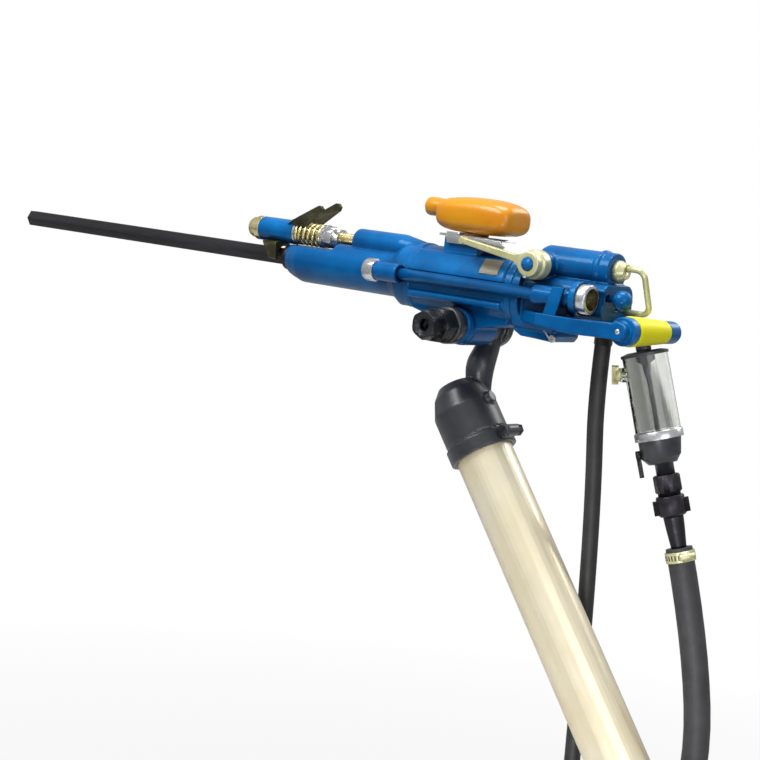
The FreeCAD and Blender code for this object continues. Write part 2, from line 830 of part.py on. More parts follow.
def back_head():
    flange = rod(cylinder_radius, back_flange, at(back_x))
    half, round_radius = block_half, block_half * 0.45
    front = rounded_bar(back_x + face_gap, rear_step_x, half, block_bottom, block_top, round_radius)
    body = front.fuse(rounded_bar(rear_step_x - overrun, rear_x, half, rear_bottom, block_top, round_radius))
    barrel = rod(barrel_radius, barrel_end_x - barrel_front_x, at(barrel_front_x, 0, barrel_z))
    nose = turned(
        [(0, barrel_radius * 0.6), (barrel_radius * 0.25, barrel_radius * 0.88), (barrel_radius * 0.5, barrel_radius)],
        at(barrel_front_x - barrel_radius * 0.5, 0, barrel_z),
    )
    ridge = rod(barrel_radius + barrel_ridge, barrel_ridge_length, at(barrel_ridge_x, 0, barrel_z))
    hub = rod(hub_radius, hub_far - hub_near, at(hub_x, hub_near, hub_z), AY)
    belly = side_plate(
        [
            (back_x + face_gap, block_bottom / 2),
            (back_x + face_gap, block_bottom),
            (back_x + back_flange, belly_z + overrun),
            (belly_x, belly_z),
            (belly_x + back_flange, block_bottom),
            (belly_x + back_flange, block_bottom / 2),
        ],
        -block_half * 0.8,
        block_half * 0.8,
    )
    pieces = [flange, body, barrel, nose, ridge, hub, belly]
    for side in (-1, 1):
        lug = rod(lug_radius, rear_lug_length, at(rear_lug_x, side * tie_rod_side, lug_z))
        arm = block(rear_lug_x, rear_lug_x + rear_lug_length, 0, tie_rod_side, lug_z - web_half, lug_z + web_half)
        if side < 0:
            arm = arm.mirror(at(0), AY)
        pieces += [lug, arm]
    pieces.append(rod(inlet_boss_radius, inlet_boss_length, at(rear_x - inlet_boss_length, inlet_y, inlet_z)))
    pieces.append(block(rear_x - inlet_boss_length, rear_x, 0, inlet_y, inlet_z - web_half, inlet_z + web_half))
    boss_radius = socket_radius + port_boss_wall
    pieces.append(rod(boss_radius, port_boss_length, at(port_x - overrun, port_y, port_z)))
    pieces.append(rod(button_boss_radius, rear_x - belly_x, at(belly_x, button_y, button_z)))
    pieces.append(rod(water_port_radius, block_half, at(water_port_x, water_port_y, water_port_z), AZ))
    body = joined(pieces)
    cuts = [
        rod(bore_radius, carrier_x - back_x + overrun, at(back_x - overrun)),
        rod(socket_radius + snug_gap, rear_x, at(port_x, port_y, port_z)),
        rod(ratchet_outer + snug_gap, pocket_length + overrun, at(back_x - overrun)),
        rod(spindle_radius + curved_gap, hub_far - hub_near + overrun, at(hub_x, hub_near - overrun, hub_z), AY),
        rod(inlet_bore_radius, inlet_boss_length, at(rear_x - inlet_boss_length + overrun, inlet_y, inlet_z)),
        rod(button_stem_radius + curved_gap, button_depth + overrun, at(rear_x - button_depth, button_y, button_z)),
        rod(water_bore_radius, block_half / 2 + overrun, at(water_port_x, water_port_y, water_port_z - overrun), AZ),
        rod(needle_radius * 2, back_length, at(back_x, 0, 0)),
        rod(
            water_nut_flats * 0.62,
            block_half,
            at(water_port_x, water_port_y, water_port_z - block_half),
            AZ,
        ),
    ]
    for side in (-1, 1):
        reach = rear_lug_x + rear_lug_length - back_x + 2 * overrun
        cuts.append(rod(tie_rod_radius + snug_gap, reach, at(back_x - overrun, side * tie_rod_side, lug_z)))
    for tool in cuts:
        body = body.cut(tool)
    return body


# Leg retract button on the back head, beside the handle
button_stem_radius = 4.0
button_depth = 24.0
button_travel = 4.0
button_knob_radius = 12.2
button_out = 19.5  # from the back head's face to the middle of the knob


def retract_button():
    ball = Part.makeSphere(button_knob_radius, at(rear_x + button_out, button_y, button_z))
    start = rear_x - button_depth + button_travel + overrun / 2
    stem = rod(button_stem_radius, rear_x + button_out - start, at(start, button_y, button_z))
    return ball.fuse(stem)


# Tie rods and their nuts
tie_nut_flats = 26.0
tie_nut_length = 17.0
tie_thread_out = 4.0
tie_head_radius = 10.5


def tie_rods():
    made = []
    for side in (-1, 1):
        start = lug_front_x - tie_nut_length - tie_thread_out
        end = rear_lug_x + rear_lug_length
        place = at(start, side * tie_rod_side, lug_z)
        bar = rod(tie_rod_radius, end + tie_head_radius - start, place)
        dome = Part.makeSphere(tie_head_radius, at(end + tie_head_radius, side * tie_rod_side, lug_z))
        past = rod(2 * tie_head_radius, 2 * tie_head_radius, at(end - 2 * tie_head_radius, side * tie_rod_side, lug_z))
        made.append(bar.fuse(dome.cut(past)))
    return Part.makeCompound(made)


def tie_rod_nuts():
    made = []
    for side in (-1, 1):
        place = at(lug_front_x - tie_nut_length, side * tie_rod_side, lug_z)
        made.append(nut(tie_nut_flats, tie_rod_radius + snug_gap, tie_nut_length, place))
    return Part.makeCompound(made)


# Exhaust muffler, its bracket and bolts
muffler_set = 47.0
muffler_x = exhaust_x - muffler_set
muffler_length = 116.0
muffler_half = 35.0
muffler_bottom = 65.0
muffler_height = 47.0
muffler_round_share = 0.18
bracket_thick = 3.0
bracket_half = 30.0
bracket_fore = 33.0
bracket_aft = 45.0
bracket_x0 = exhaust_x - bracket_fore
bracket_x1 = exhaust_x + bracket_aft
outlet_radius = 11.0
outlet_length = 21.0
bolt_radius = 4.0
bracket_hole_share = 0.8


def muffler():
    """A moulded pod: rounded sections lofted from front to rear, with the spout on its front."""
    low, high = muffler_bottom, muffler_bottom + muffler_height
    mid = (low + high) / 2
    shares = [
        (0.0, 0.50, 0.45, 0.50),
        (0.06, 0.80, 0.76, 0.80),
        (0.20, 0.97, 0.95, 0.96),
        (0.42, 1.00, 1.00, 1.00),
        (0.65, 0.98, 0.99, 0.97),
        (0.84, 0.89, 0.93, 0.85),
        (0.95, 0.72, 0.78, 0.63),
        (1.0, 0.46, 0.52, 0.36),
    ]
    sections = []
    for along, wide, below, above in shares:
        sections.append(
            rounded_ring(
                muffler_x + along * muffler_length,
                muffler_half * wide,
                mid - (mid - low) * below,
                mid + (high - mid) * above,
                (high - low) * (below + above) * muffler_round_share,
            )
        )
    pod = Part.makeLoft(sections, True, True)
    place = at(muffler_x - outlet_length, 0, mid + muffler_height * 0.04)
    spout = turned(
        [(0, outlet_radius * 0.7), (outlet_radius * 0.4, outlet_radius), (2 * outlet_length, outlet_radius)],
        place,
    )
    body = joined([pod, spout])
    return body.cut(rod(outlet_radius * 0.6, outlet_length * 0.7, place - AX * overrun))


def muffler_bracket():
    """A pressed plate between the saddle and the pod, with a turned-up lip at each end."""
    low = saddle_height
    plate = block(bracket_x0, bracket_x1, -bracket_half, bracket_half, low, low + bracket_thick)
    rise = muffler_bottom - low - bracket_thick
    outer = exhaust_radius + 2 * bracket_thick
    collar = tube(outer, exhaust_radius, rise, at(exhaust_x, 0, low + bracket_thick), AZ)
    body = joined([plate, collar])
    body = body.cut(rod(exhaust_radius, muffler_bottom, at(exhaust_x, 0, low - overrun), AZ))
    for side in (-1, 1):
        spot = at(bracket_bolt_x, side * saddle_half * bracket_hole_share, low - overrun)
        body = body.cut(rod(bolt_radius + snug_gap, 4 * bracket_thick, spot, AZ))
    return body


bracket_bolt_x = exhaust_x - saddle_half * 0.72
bolt_head_flats = 13.0
bolt_head_height = 2.6


def bracket_bolts():
    made = []
    for side in (-1, 1):
        place = at(bracket_bolt_x, side * saddle_half * bracket_hole_share, saddle_height + bracket_thick)
        made.append(hexagon(bolt_head_flats, bolt_head_height, place, AZ))
    return Part.makeCompound(made)


# Throttle lever on its valve spindle
lever_hub_radius = 15.5
lever_hub_near = -62.0
lever_hub_far = hub_near - face_gap
lever_reach = 124.0
lever_rise = 18.0
lever_tip_x = hub_x - lever_reach
lever_tip_z = hub_z + lever_rise
lever_thick = 8.0
lever_tip_radius = 3.8
spindle_out = 1.5


def throttle_lever():
    hub = turned(
        [
            (0, lever_hub_radius - collar_chamfer / 2),
            (collar_chamfer / 2, lever_hub_radius),
            ((lever_hub_far - lever_hub_near) * 0.35, lever_hub_radius),
            ((lever_hub_far - lever_hub_near) * 0.45, lever_hub_radius + panel_rise),
            (lever_hub_far - lever_hub_near - collar_chamfer, lever_hub_radius + panel_rise),
            (lever_hub_far - lever_hub_near, lever_hub_radius),
        ],
        at(hub_x, lever_hub_near, hub_z),
        AY,
    )
    y0 = lever_hub_near + collar_chamfer
    arm = side_plate(
        [
            (hub_x + lever_hub_radius * 0.2, hub_z + lever_hub_radius * 0.9),
            (hub_x - lever_hub_radius * 1.5, hub_z + lever_hub_radius * 0.64),
            (lever_tip_x, lever_tip_z + lever_tip_radius),
            (lever_tip_x, lever_tip_z - lever_tip_radius),
            (hub_x - lever_hub_radius * 1.5, hub_z + lever_hub_radius * 0.04),
            (hub_x - lever_hub_radius * 0.7, hub_z - lever_hub_radius * 0.6),
        ],
        y0,
        y0 + lever_thick,
    )
    knob = rod(lever_tip_radius * 1.3, lever_thick * 1.6, at(lever_tip_x, y0 - lever_thick * 0.3, lever_tip_z), AY)
    body = joined([hub, arm, knob])
    bore = lever_hub_far - lever_hub_near + 2 * overrun
    return body.cut(rod(spindle_radius + snug_gap, bore, at(hub_x, lever_hub_near - overrun, hub_z), AY))


def throttle_spindle():
    length = hub_far - lever_hub_near + spindle_out
    body = rod(spindle_radius, length, at(hub_x, lever_hub_near - spindle_out, hub_z), AY)
    port = rod(spindle_radius * 0.5, 4 * spindle_radius, at(hub_x - 2 * spindle_radius, (hub_near + hub_far) / 2, hub_z))
    return body.cut(port)


# Handle: a bridge on each side of the back head carries the cross bar and its grip
arm_thick = 13.0
arm_knee_set = 20.0
arm_root_set = 71.0
bar_set = 44.0
arm_knee_x = rear_x - arm_knee_set
arm_root_x = rear_x - arm_root_set
bar_x = rear_x + bar_set
bar_z = -25.0
bar_radius = 11.0


def handle():
    """Two flat arms that leave the back head's sides, and the round bar between them."""
    pieces = []
    back = rear_lug_x + rear_lug_length
    for side in (-1, 1):
        y1 = side * handle_half_width
        y0 = side * (handle_half_width - arm_thick)
        low = min(y0, y1)
        eye = rod(bar_radius, arm_thick, at(bar_x, low, bar_z), AY)
        arm = side_plate(
            [
                (bar_x, bar_z + arm_half),
                (arm_knee_x, bar_z + arm_half * 0.75),
                (arm_root_x, bar_z + arm_half * 0.75),
                (arm_root_x, bar_z - arm_half * 0.8),
                (arm_knee_x, bar_z - arm_half * 1.25),
                (bar_x, bar_z - arm_half),
            ],
            low,
            low + arm_thick,
        )
        inner = side * (block_half - overrun)
        root = polygon(
            [
                at(arm_root_x - arm_slope, inner, bar_z - arm_half * 0.8),
                at(back, inner, bar_z - arm_half * 0.8),
                at(arm_knee_x, y0, bar_z - arm_half * 0.8),
                at(arm_knee_x, y1, bar_z - arm_half * 0.8),
                at(arm_root_x, y1, bar_z - arm_half * 0.8),
            ]
        ).extrude(at(0, 0, arm_half * 1.55))
        pieces += [eye, arm, root]
    bar = rod(bar_radius, 2 * handle_half_width, at(bar_x, -handle_half_width, bar_z), AY)
    near_y = -handle_half_width + arm_thick
    near = rod(near_block_radius, near_block_length - arm_thick, at(bar_x, near_y, bar_z), AY)
    far = turned(
        [
            (0, far_block_radius),
            (far_block_length - far_block_radius * 0.4, far_block_radius),
            (far_block_length - far_block_radius * 0.1, far_block_radius * 0.85),
            (far_block_length, far_block_radius * 0.6),
        ],
        at(bar_x, handle_half_width - far_block_length, bar_z),
        AY,
    )
    body = joined(pieces + [bar, near, far])
    body = body.cut(rounded_bar(back_x, rear_step_x, block_half, block_bottom, block_top, block_half * 0.45))
    spot = at(rear_x - inlet_boss_length - overrun, inlet_y, inlet_z)
    body = body.cut(rod(inlet_boss_radius + snug_gap, inlet_boss_length + overrun, spot))
    tail_spot = at(water_port_x, water_port_y, water_port_z - block_half)
    return body.cut(rod(water_nut_flats * 0.62, 2 * block_half, tail_spot, AZ))


arm_half = 9.5
arm_slope = 45.0  # how much further forward the arms leave the block than their outer faces start
near_block_length = 28.0
near_block_radius = 17.5
far_block_length = 29.0
far_block_radius = 14.0
grip_near_radius = 18.5
grip_far_radius = 14.3


def grip_sleeve():
    near = -handle_half_width + near_block_length + snug_gap
    length = 2 * handle_half_width - near_block_length - far_block_length - 2 * snug_gap
    body = turned(
        [(0, grip_near_radius - overrun / 2), (overrun / 2, grip_near_radius), (length, grip_far_radius)],
        at(bar_x, near, bar_z),
        AY,
    )
    return body.cut(rod(bar_radius + snug_gap, length + 2 * overrun, at(bar_x, near - overrun, bar_z), AY))


# Open plated socket on the near side
socket_radius = 18.0
socket_bore_radius = 13.5
socket_length = 20.0
socket_depth = 17.0


def side_socket():
    body = turned(
        [
            (0, socket_radius - collar_chamfer),
            (collar_chamfer, socket_radius),
            (socket_length - collar_chamfer / 2, socket_radius),
            (socket_length, socket_radius - collar_chamfer / 2),
        ],
        at(port_x, port_y, port_z),
    )
    start = at(port_x + socket_length - socket_depth, port_y, port_z)
    return body.cut(rod(socket_bore_radius, socket_depth + overrun, start))


# Water needle, its cap and the bent supply pipe
needle_cap_length = 14.0
needle_cap_radius = 13.0
needle_cap_rise = 2.0
pipe_radius = 3.7
pipe_bend = 11.0


def rear_cap():
    return turned(
        [
            (0, needle_cap_radius),
            (needle_cap_length * 0.4, needle_cap_radius),
            (needle_cap_length, needle_cap_radius * 0.7),
        ],
        at(barrel_end_x, 0, barrel_z + needle_cap_rise),
    ).cut(rod(pipe_radius + snug_gap, needle_cap_length, at(pipe_start_x, 0, pipe_z)))


pipe_seat = 8.0
pipe_start_x = barrel_end_x + needle_cap_length - pipe_seat
pipe_rise = 6.0
pipe_z = barrel_z + pipe_rise
pipe_out = 31.0  # from the rear face to the first bend
pipe_side = 22.0
pipe_end_z = -6.0


def supply_pipe():
    points = [
        at(pipe_start_x, 0, pipe_z),
        at(rear_x + pipe_out, 0, pipe_z),
        at(rear_x + pipe_out * 1.1, pipe_side, pipe_end_z),
        at(rear_x, pipe_side, pipe_end_z),
    ]
    return bent_rod(pipe_radius, points, pipe_bend)


def water_needle():
    start = shank_x + shank_length * 0.6
    end = rear_x - overrun
    return tube(needle_radius, needle_radius * 0.55, end - start, at(start))


# Air leg: local places are measured along its axis from the top of the leg head's cap
LEG_WAY = FreeCAD.Vector(math.sin(math.radians(leg_lean)), 0, -math.cos(math.radians(leg_lean)))
cap_set_forward = 19.0  # from the pivot to the middle of the cap's top
cap_set_down = 80.0
cap_top_radius = 22.0
cap_shoulder = 36.0
cap_outer = 42.0
cap_length_leg = 101.0
cap_band = 20.0
cap_band_radius = 44.5
cap_groove = 3.0
tube_seat = 48.0
tube_wall = 3.5
neck_ring_radius = 27.0
neck_near = pivot_boss_far + face_gap
neck_hub_length = 22.0
neck_ring_length = 12.0
neck_y = 30.0  # middle of the upright neck
neck_radius = 18.0
neck_foot = 40.0  # along the leg, where the neck has run into the cap
rod_radius = 22.0
rod_wall = 3.0
leg_piston_length = 32.0
leg_air_pipe_radius = 7.0
air_pipe_wall = 1.0
gland_length = 52.0
gland_radius = 43.0
gland_bore_gap = 0.35
foot_socket_length = 46.0
foot_socket_radius = 27.0
fork_half = 30.0
fork_thick = 20.0
fork_length = 58.0
fork_tip = 2.5
outer_end = tube_seat + leg_tube_length
gland_start = outer_end - gland_length * 0.6
gland_end = gland_start + gland_length
foot_start = leg_length - fork_length - foot_socket_length * 0.55


def leg_spot(along, y=0, across=0):
    """A place on the leg: along its axis, to the far side, and across towards the operator."""
    side = at(-LEG_WAY.z, 0, LEG_WAY.x)
    return at(pivot_x - cap_set_forward, y, pivot_z - cap_set_down) + LEG_WAY * along + side * across


floor_z = leg_spot(leg_length).z - fork_tip * math.sin(math.radians(leg_lean)) - face_gap


def leg_head():
    shell = turned(
        [
            (0, cap_top_radius),
            (cap_shoulder * 0.35, cap_outer * 0.78),
            (cap_shoulder, cap_outer),
            (cap_length_leg - cap_band - cap_groove, cap_outer),
            (cap_length_leg - cap_band - cap_groove, cap_outer - cap_groove / 2),
            (cap_length_leg - cap_band, cap_outer - cap_groove / 2),
            (cap_length_leg - cap_band, cap_band_radius),
            (cap_length_leg, cap_band_radius),
        ],
        leg_spot(0),
        LEG_WAY,
    )
    hub_end = neck_near + neck_hub_length
    ring = rod(neck_hub_radius, neck_hub_length + overrun, at(pivot_x, neck_near, pivot_z), AY)
    ring = ring.fuse(rod(neck_ring_radius, neck_ring_length, at(pivot_x, hub_end, pivot_z), AY))
    root_y = neck_near + neck_radius * 0.95
    below = pivot_z - pivot_boss_radius
    stations = [
        (at(pivot_x, root_y, below + neck_radius * 0.8), neck_radius * 0.9),
        (at(pivot_x, root_y, below - face_gap), neck_radius * 0.9),
        (at(pivot_x, neck_y, below - neck_radius * 0.9), neck_radius),
        (at(pivot_x, neck_y * 0.85, below - neck_radius * 2.2), neck_radius),
        (leg_spot(neck_foot, neck_y * 0.4, neck_radius * 0.4), neck_radius * 1.1),
    ]
    ways = [at(0, 0, -1), at(0, 0, -1), at(0, -0.15, -1), at(0, -0.15, -1), at(0.1, -0.4, -1)]
    rings = [Part.Wire([Part.makeCircle(r, p, w)]) for (p, r), w in zip(stations, ways)]
    neck = Part.makeLoft(rings, True, False)
    across = at(-LEG_WAY.z, 0, LEG_WAY.x)
    boss = rod(screw_boss_radius, screw_boss_out, leg_spot(cap_shoulder * 1.1, 0, cap_outer - 2 * overrun), across)
    ear_along, ear_across = cap_length_leg - cap_band / 2, cap_band_radius + ear_out
    ear = rod(ear_radius, ear_length, leg_spot(ear_along, -ear_length / 2, ear_across), AY)
    ear_web = block(0, ear_out + overrun, -ear_length / 2, ear_length / 2, -ear_radius, ear_radius)
    ear_web = aimed_on_leg(ear_web, ear_along, cap_band_radius - overrun)
    body = joined([shell, ring, neck, boss, ear, ear_web])
    bolt_place = leg_spot(ear_along, -ear_length / 2 - overrun, ear_across)
    cuts = [
        rod(leg_tube_radius + snug_gap, leg_length, leg_spot(tube_seat), LEG_WAY),
        rod(leg_tube_radius - tube_wall - overrun, tube_seat, leg_spot(cap_shoulder * 0.6), LEG_WAY),
        rod(pivot_shaft_radius + snug_gap, 2 * neck_hub_length, at(pivot_x, neck_near - overrun, pivot_z), AY),
        rod(clamp_bolt_radius + snug_gap, ear_length + 2 * overrun, bolt_place, AY),
        rod(leg_air_pipe_radius + snug_gap, cap_shoulder, leg_spot(cap_shoulder * 0.3), LEG_WAY),
    ]
    for tool in cuts:
        body = body.cut(tool)
    return body


screw_boss_radius = 8.0
screw_boss_out = 9.0
ear_radius = 8.0
ear_length = 24.0
ear_out = 6.0
clamp_bolt_radius = 4.0
clamp_head_flats = 14.0
clamp_head = 7.0


def aimed_on_leg(solid, along, across):
    """Place a solid modelled with X across the leg, Y to the far side and Z along the leg."""
    return aimed(solid, leg_spot(along), LEG_WAY).translated((leg_spot(0, 0, across) - leg_spot(0)))


def clamp_bolt():
    place = leg_spot(cap_length_leg - cap_band / 2, -ear_length / 2, cap_band_radius + ear_out)
    shank = rod(clamp_bolt_radius, ear_length, place, AY)
    head = hexagon(clamp_head_flats, clamp_head, place - AY * clamp_head, AY)
    end = hexagon(clamp_head_flats, clamp_head, place + AY * ear_length, AY)
    return joined([shank, head, end])


shaft_near = -96.0
shaft_far = neck_near + neck_hub_length + neck_ring_length + overrun
air_way_radius = 8.0
barrel_near = -62.0
shaft_barrel_radius = 23.5
union_near = -86.0
union_flats = 41.0
union_groove = 3.0
end_nut_near = -108.0
end_nut_flats = 33.0


def cross_shaft():
    body = rod(pivot_shaft_radius, shaft_far - shaft_near, at(pivot_x, shaft_near, pivot_z), AY)
    way = rod(air_way_radius, shaft_far - shaft_near - 4 * overrun, at(pivot_x, shaft_near - overrun, pivot_z), AY)
    return body.cut(way)


def shaft_barrel():
    length = pivot_boss_near - face_gap - barrel_near
    body = turned(
        [
            (0, shaft_barrel_radius - collar_chamfer / 2),
            (collar_chamfer / 2, shaft_barrel_radius),
            (length * 0.45, shaft_barrel_radius),
            (length * 0.5, shaft_barrel_radius - overrun),
            (length * 0.62, shaft_barrel_radius - overrun),
            (length * 0.67, shaft_barrel_radius),
            (length, shaft_barrel_radius),
        ],
        at(pivot_x, barrel_near, pivot_z),
        AY,
    )
    bore = rod(pivot_shaft_radius + snug_gap, length + 2 * overrun, at(pivot_x, barrel_near - overrun, pivot_z), AY)
    return body.cut(bore)


def shaft_nuts():
    """The union nut that draws the barrel tight, and the bored nut on the shaft's end."""
    bore = pivot_shaft_radius + snug_gap
    union = nut(union_flats, bore, barrel_near - union_near, at(pivot_x, union_near, pivot_z), AY)
    length = union_near - end_nut_near
    end = nut(end_nut_flats, air_way_radius, length, at(pivot_x, end_nut_near, pivot_z), AY, 30)
    seat = rod(bore, length, at(pivot_x, shaft_near - snug_gap, pivot_z), AY)
    dish = rod(air_way_radius * 1.35, overrun, at(pivot_x, end_nut_near - overrun / 2, pivot_z), AY)
    return Part.makeCompound([union, end.cut(seat).cut(dish)])


def leg_outer_tube():
    start = leg_spot(tube_seat + face_gap)
    return tube(leg_tube_radius, leg_tube_radius - tube_wall, leg_tube_length - face_gap, start, LEG_WAY)


def leg_gland():
    body = turned(
        [
            (0, gland_radius - overrun),
            (overrun, gland_radius),
            (gland_length * 0.7, gland_radius),
            (gland_length * 0.72, gland_radius * 0.88),
            (gland_length - overrun, gland_radius * 0.84),
            (gland_length, gland_radius * 0.78),
        ],
        leg_spot(gland_start),
        LEG_WAY,
    )
    depth = outer_end - gland_start + face_gap + overrun
    seat = rod(leg_tube_radius + snug_gap, depth, leg_spot(gland_start - overrun), LEG_WAY)
    way = rod(rod_radius + gland_bore_gap, gland_length + 2 * overrun, leg_spot(gland_start - overrun), LEG_WAY)
    return body.cut(seat).cut(way)


leg_piston_set = 22.0
leg_piston_start = tube_seat + leg_piston_set


def leg_piston():
    groove = collar_chamfer
    half = leg_tube_radius - tube_wall - curved_gap
    body = turned(
        [
            (0, half - groove),
            (groove, half),
            (leg_piston_length * 0.3, half),
            (leg_piston_length * 0.3, half - groove),
            (leg_piston_length * 0.5, half - groove),
            (leg_piston_length * 0.5, half),
            (leg_piston_length - groove, half),
            (leg_piston_length, half - groove),
        ],
        leg_spot(leg_piston_start),
        LEG_WAY,
    )
    before = leg_spot(leg_piston_start - overrun)
    way = rod(leg_air_pipe_radius + curved_gap, leg_piston_length + 2 * overrun, before, LEG_WAY)
    seat = rod(rod_radius + snug_gap, leg_piston_length, leg_spot(leg_piston_start + leg_piston_length / 2), LEG_WAY)
    return body.cut(way).cut(seat)


def leg_rod():
    start = leg_piston_start + leg_piston_length / 2
    return tube(rod_radius, rod_radius - rod_wall, foot_start - start, leg_spot(start), LEG_WAY)


def leg_air_pipe():
    start = cap_shoulder * 0.3
    length = leg_travel + leg_piston_length + tube_seat - start
    return tube(leg_air_pipe_radius, leg_air_pipe_radius - air_pipe_wall, length, leg_spot(start), LEG_WAY)


def foot_fork():
    """A socket on the rod's end and a two-pointed claw that bites the ground."""
    tip_start = foot_start + foot_socket_length * 0.55
    socket = turned(
        [
            (0, rod_radius + overrun),
            (overrun, foot_socket_radius),
            (foot_socket_length * 0.8, foot_socket_radius),
            (foot_socket_length, foot_socket_radius * 0.8),
        ],
        leg_spot(foot_start - foot_socket_length * 0.45),
        LEG_WAY,
    )
    claw = polygon(
        [
            at(-fork_thick / 2, -foot_socket_radius * 0.8, 0),
            at(-fork_thick / 2, foot_socket_radius * 0.8, 0),
            at(-fork_thick / 2, fork_half, fork_length * 0.45),
            at(-fork_thick / 2, fork_half * 0.82, fork_length),
            at(-fork_thick / 2, fork_half * 0.72, fork_length),
            at(-fork_thick / 2, fork_half * 0.35, fork_length * 0.5),
            at(-fork_thick / 2, 0, fork_length * 0.4),
            at(-fork_thick / 2, -fork_half * 0.35, fork_length * 0.5),
            at(-fork_thick / 2, -fork_half * 0.72, fork_length),
            at(-fork_thick / 2, -fork_half * 0.82, fork_length),
            at(-fork_thick / 2, -fork_half, fork_length * 0.45),
        ]
    ).extrude(at(fork_thick, 0, 0))
    wedge = polygon(
        [
            at(-fork_thick / 2, -fork_half - overrun, -overrun),
            at(fork_thick / 2, -fork_half - overrun, -overrun),
            at(fork_thick / 2, -fork_half - overrun, fork_length * 0.4),
            at(fork_tip, -fork_half - overrun, fork_length),
            at(-fork_tip, -fork_half - overrun, fork_length),
            at(-fork_thick / 2, -fork_half - overrun, fork_length * 0.4),
        ]
    ).extrude(at(0, 2 * fork_half + 2 * overrun, 0))
    claw = aimed_on_leg(claw.common(wedge), tip_start, 0)
    body = joined([socket, claw])
    depth = foot_socket_length * 0.45
    seat = rod(rod_radius + snug_gap, depth + overrun, leg_spot(foot_start - depth - overrun), LEG_WAY)
    return body.cut(seat)


# Air inlet elbow and the line lubricator that hangs from it
LUBE_WAY = FreeCAD.Vector(0.2975, 0.0855, -0.96).normalize()
elbow_radius = 9.5
elbow_run = 15.0
elbow_bend = 13.0
elbow_drop = 32.0
swivel_flats = 30.0
swivel_length = 8.0
lube_cap_length = 6.0
lube_cap_radius = 29.4
cup_radius = 27.9
cup_wall = 3.5
cup_length = 98.0
cup_lip = 3.0
core_radius = 6.0
funnel_radius = 11.5
funnel_length = 30.0
ring_radius = 30.0
ring_length = 11.0
base_radius = 26.5
base_length = 30.0
neck_length = 14.0
neck_outer = 11.5
coupling_flats = 29.0
coupling_length = 22.0
collar_out = 14.0
collar_step = 4.0
wing_radius = 17.5
wing_length = 25.0
wing_lug = 22.0
wing_lug_width = 9.0
tail_length = 40.0
tail_top = 12.5
tail_low = 9.5
hose_grip = 22.0
barb_radius = 8.0
elbow_end = at(rear_x + elbow_run, inlet_y, inlet_z) + LUBE_WAY * elbow_drop


def lube_spot(along):
    return elbow_end + LUBE_WAY * along


cup_start = lube_cap_length - cup_lip
ring_start = cup_start + cup_length - cup_lip
base_start = ring_start + ring_length
neck_start = base_start + base_length
coupling_start = neck_start + neck_length
wing_start = coupling_start + coupling_length + collar_step
tail_start = wing_start + wing_length
hose_start = tail_start + tail_length


def inlet_elbow():
    points = [at(rear_x + face_gap, inlet_y, inlet_z), at(rear_x + elbow_run, inlet_y, inlet_z), elbow_end]
    pipe = bent_rod(elbow_radius, points, elbow_bend)
    return pipe


def lubricator_head():
    """The black cap with the feed tube and the sight funnel that hang inside the cup."""
    cap = turned(
        [
            (0, lube_cap_radius * 0.7),
            (collar_chamfer, lube_cap_radius),
            (lube_cap_length, lube_cap_radius),
        ],
        lube_spot(0),
        LUBE_WAY,
    )
    groove = tube(cup_radius + snug_gap, cup_radius - cup_wall - snug_gap, lube_cap_length, lube_spot(cup_start), LUBE_WAY)
    core = rod(core_radius, ring_start - lube_cap_length - face_gap, lube_spot(lube_cap_length), LUBE_WAY)
    funnel = turned(
        [(0, funnel_radius), (funnel_length * 0.2, funnel_radius), (funnel_length, core_radius)],
        lube_spot(lube_cap_length),
        LUBE_WAY,
    )
    return joined([cap.cut(groove), core, funnel])


def clear_cup():
    wall = tube(cup_radius, cup_radius - cup_wall, cup_length, lube_spot(cup_start + snug_gap), LUBE_WAY)
    boss = rod(filler_boss_radius, filler_boss_length, filler_place, filler_way)
    inside = rod(cup_radius - cup_wall, cup_length + 2 * overrun, lube_spot(cup_start - overrun), LUBE_WAY)
    body = joined([wall, boss.cut(rod(cup_radius - cup_wall / 2, cup_length, lube_spot(cup_start), LUBE_WAY))])
    return body.cut(rod(filler_stem_radius + snug_gap, filler_boss_length * 2, filler_place, filler_way)).cut(inside)


filler_along = 31.0
filler_way = FreeCAD.Vector(-0.86, -0.5, -0.1).normalize()
filler_boss_radius = 9.0
filler_boss_length = 8.0
filler_stem_radius = 5.0
filler_place = lube_spot(filler_along) + filler_way * (cup_radius - cup_wall)
filler_cap_length = 7.0
filler_cap_radius = 8.5
filler_wing = 13.0


def filler_plug():
    stem = rod(filler_stem_radius, filler_boss_length - overrun, filler_place + filler_way * overrun, filler_way)
    start = filler_place + filler_way * (filler_boss_length + face_gap)
    stem = stem.fuse(rod(filler_stem_radius, overrun, filler_place + filler_way * filler_boss_length, filler_way))
    cap = rod(filler_cap_radius, filler_cap_length, start, filler_way)
    wing = block(-filler_wing, filler_wing, -overrun, overrun, 0, filler_cap_length * 1.2)
    wing = aimed(wing, start + filler_way * filler_cap_length * 0.5, filler_way)
    return joined([stem, cap, wing])


def lubricator_base():
    body = turned(
        [
            (0, ring_radius - overrun),
            (overrun, ring_radius),
            (ring_length, ring_radius),
            (ring_length, base_radius),
            (ring_length + base_length * 0.7, base_radius),
            (ring_length + base_length, base_radius * 0.7),
            (ring_length + base_length, neck_outer),
            (ring_length + base_length + neck_length, neck_outer),
        ],
        lube_spot(ring_start),
        LUBE_WAY,
    )
    inner = cup_radius - cup_wall - snug_gap
    seat = tube(cup_radius + snug_gap, inner, 2 * cup_lip + 2 * snug_gap, lube_spot(ring_start - cup_lip), LUBE_WAY)
    return body.cut(seat)


oil_lever_out = 24.0
oil_lever_drop = 34.0
oil_lever_thick = 5.0
oil_lever_width = 9.0


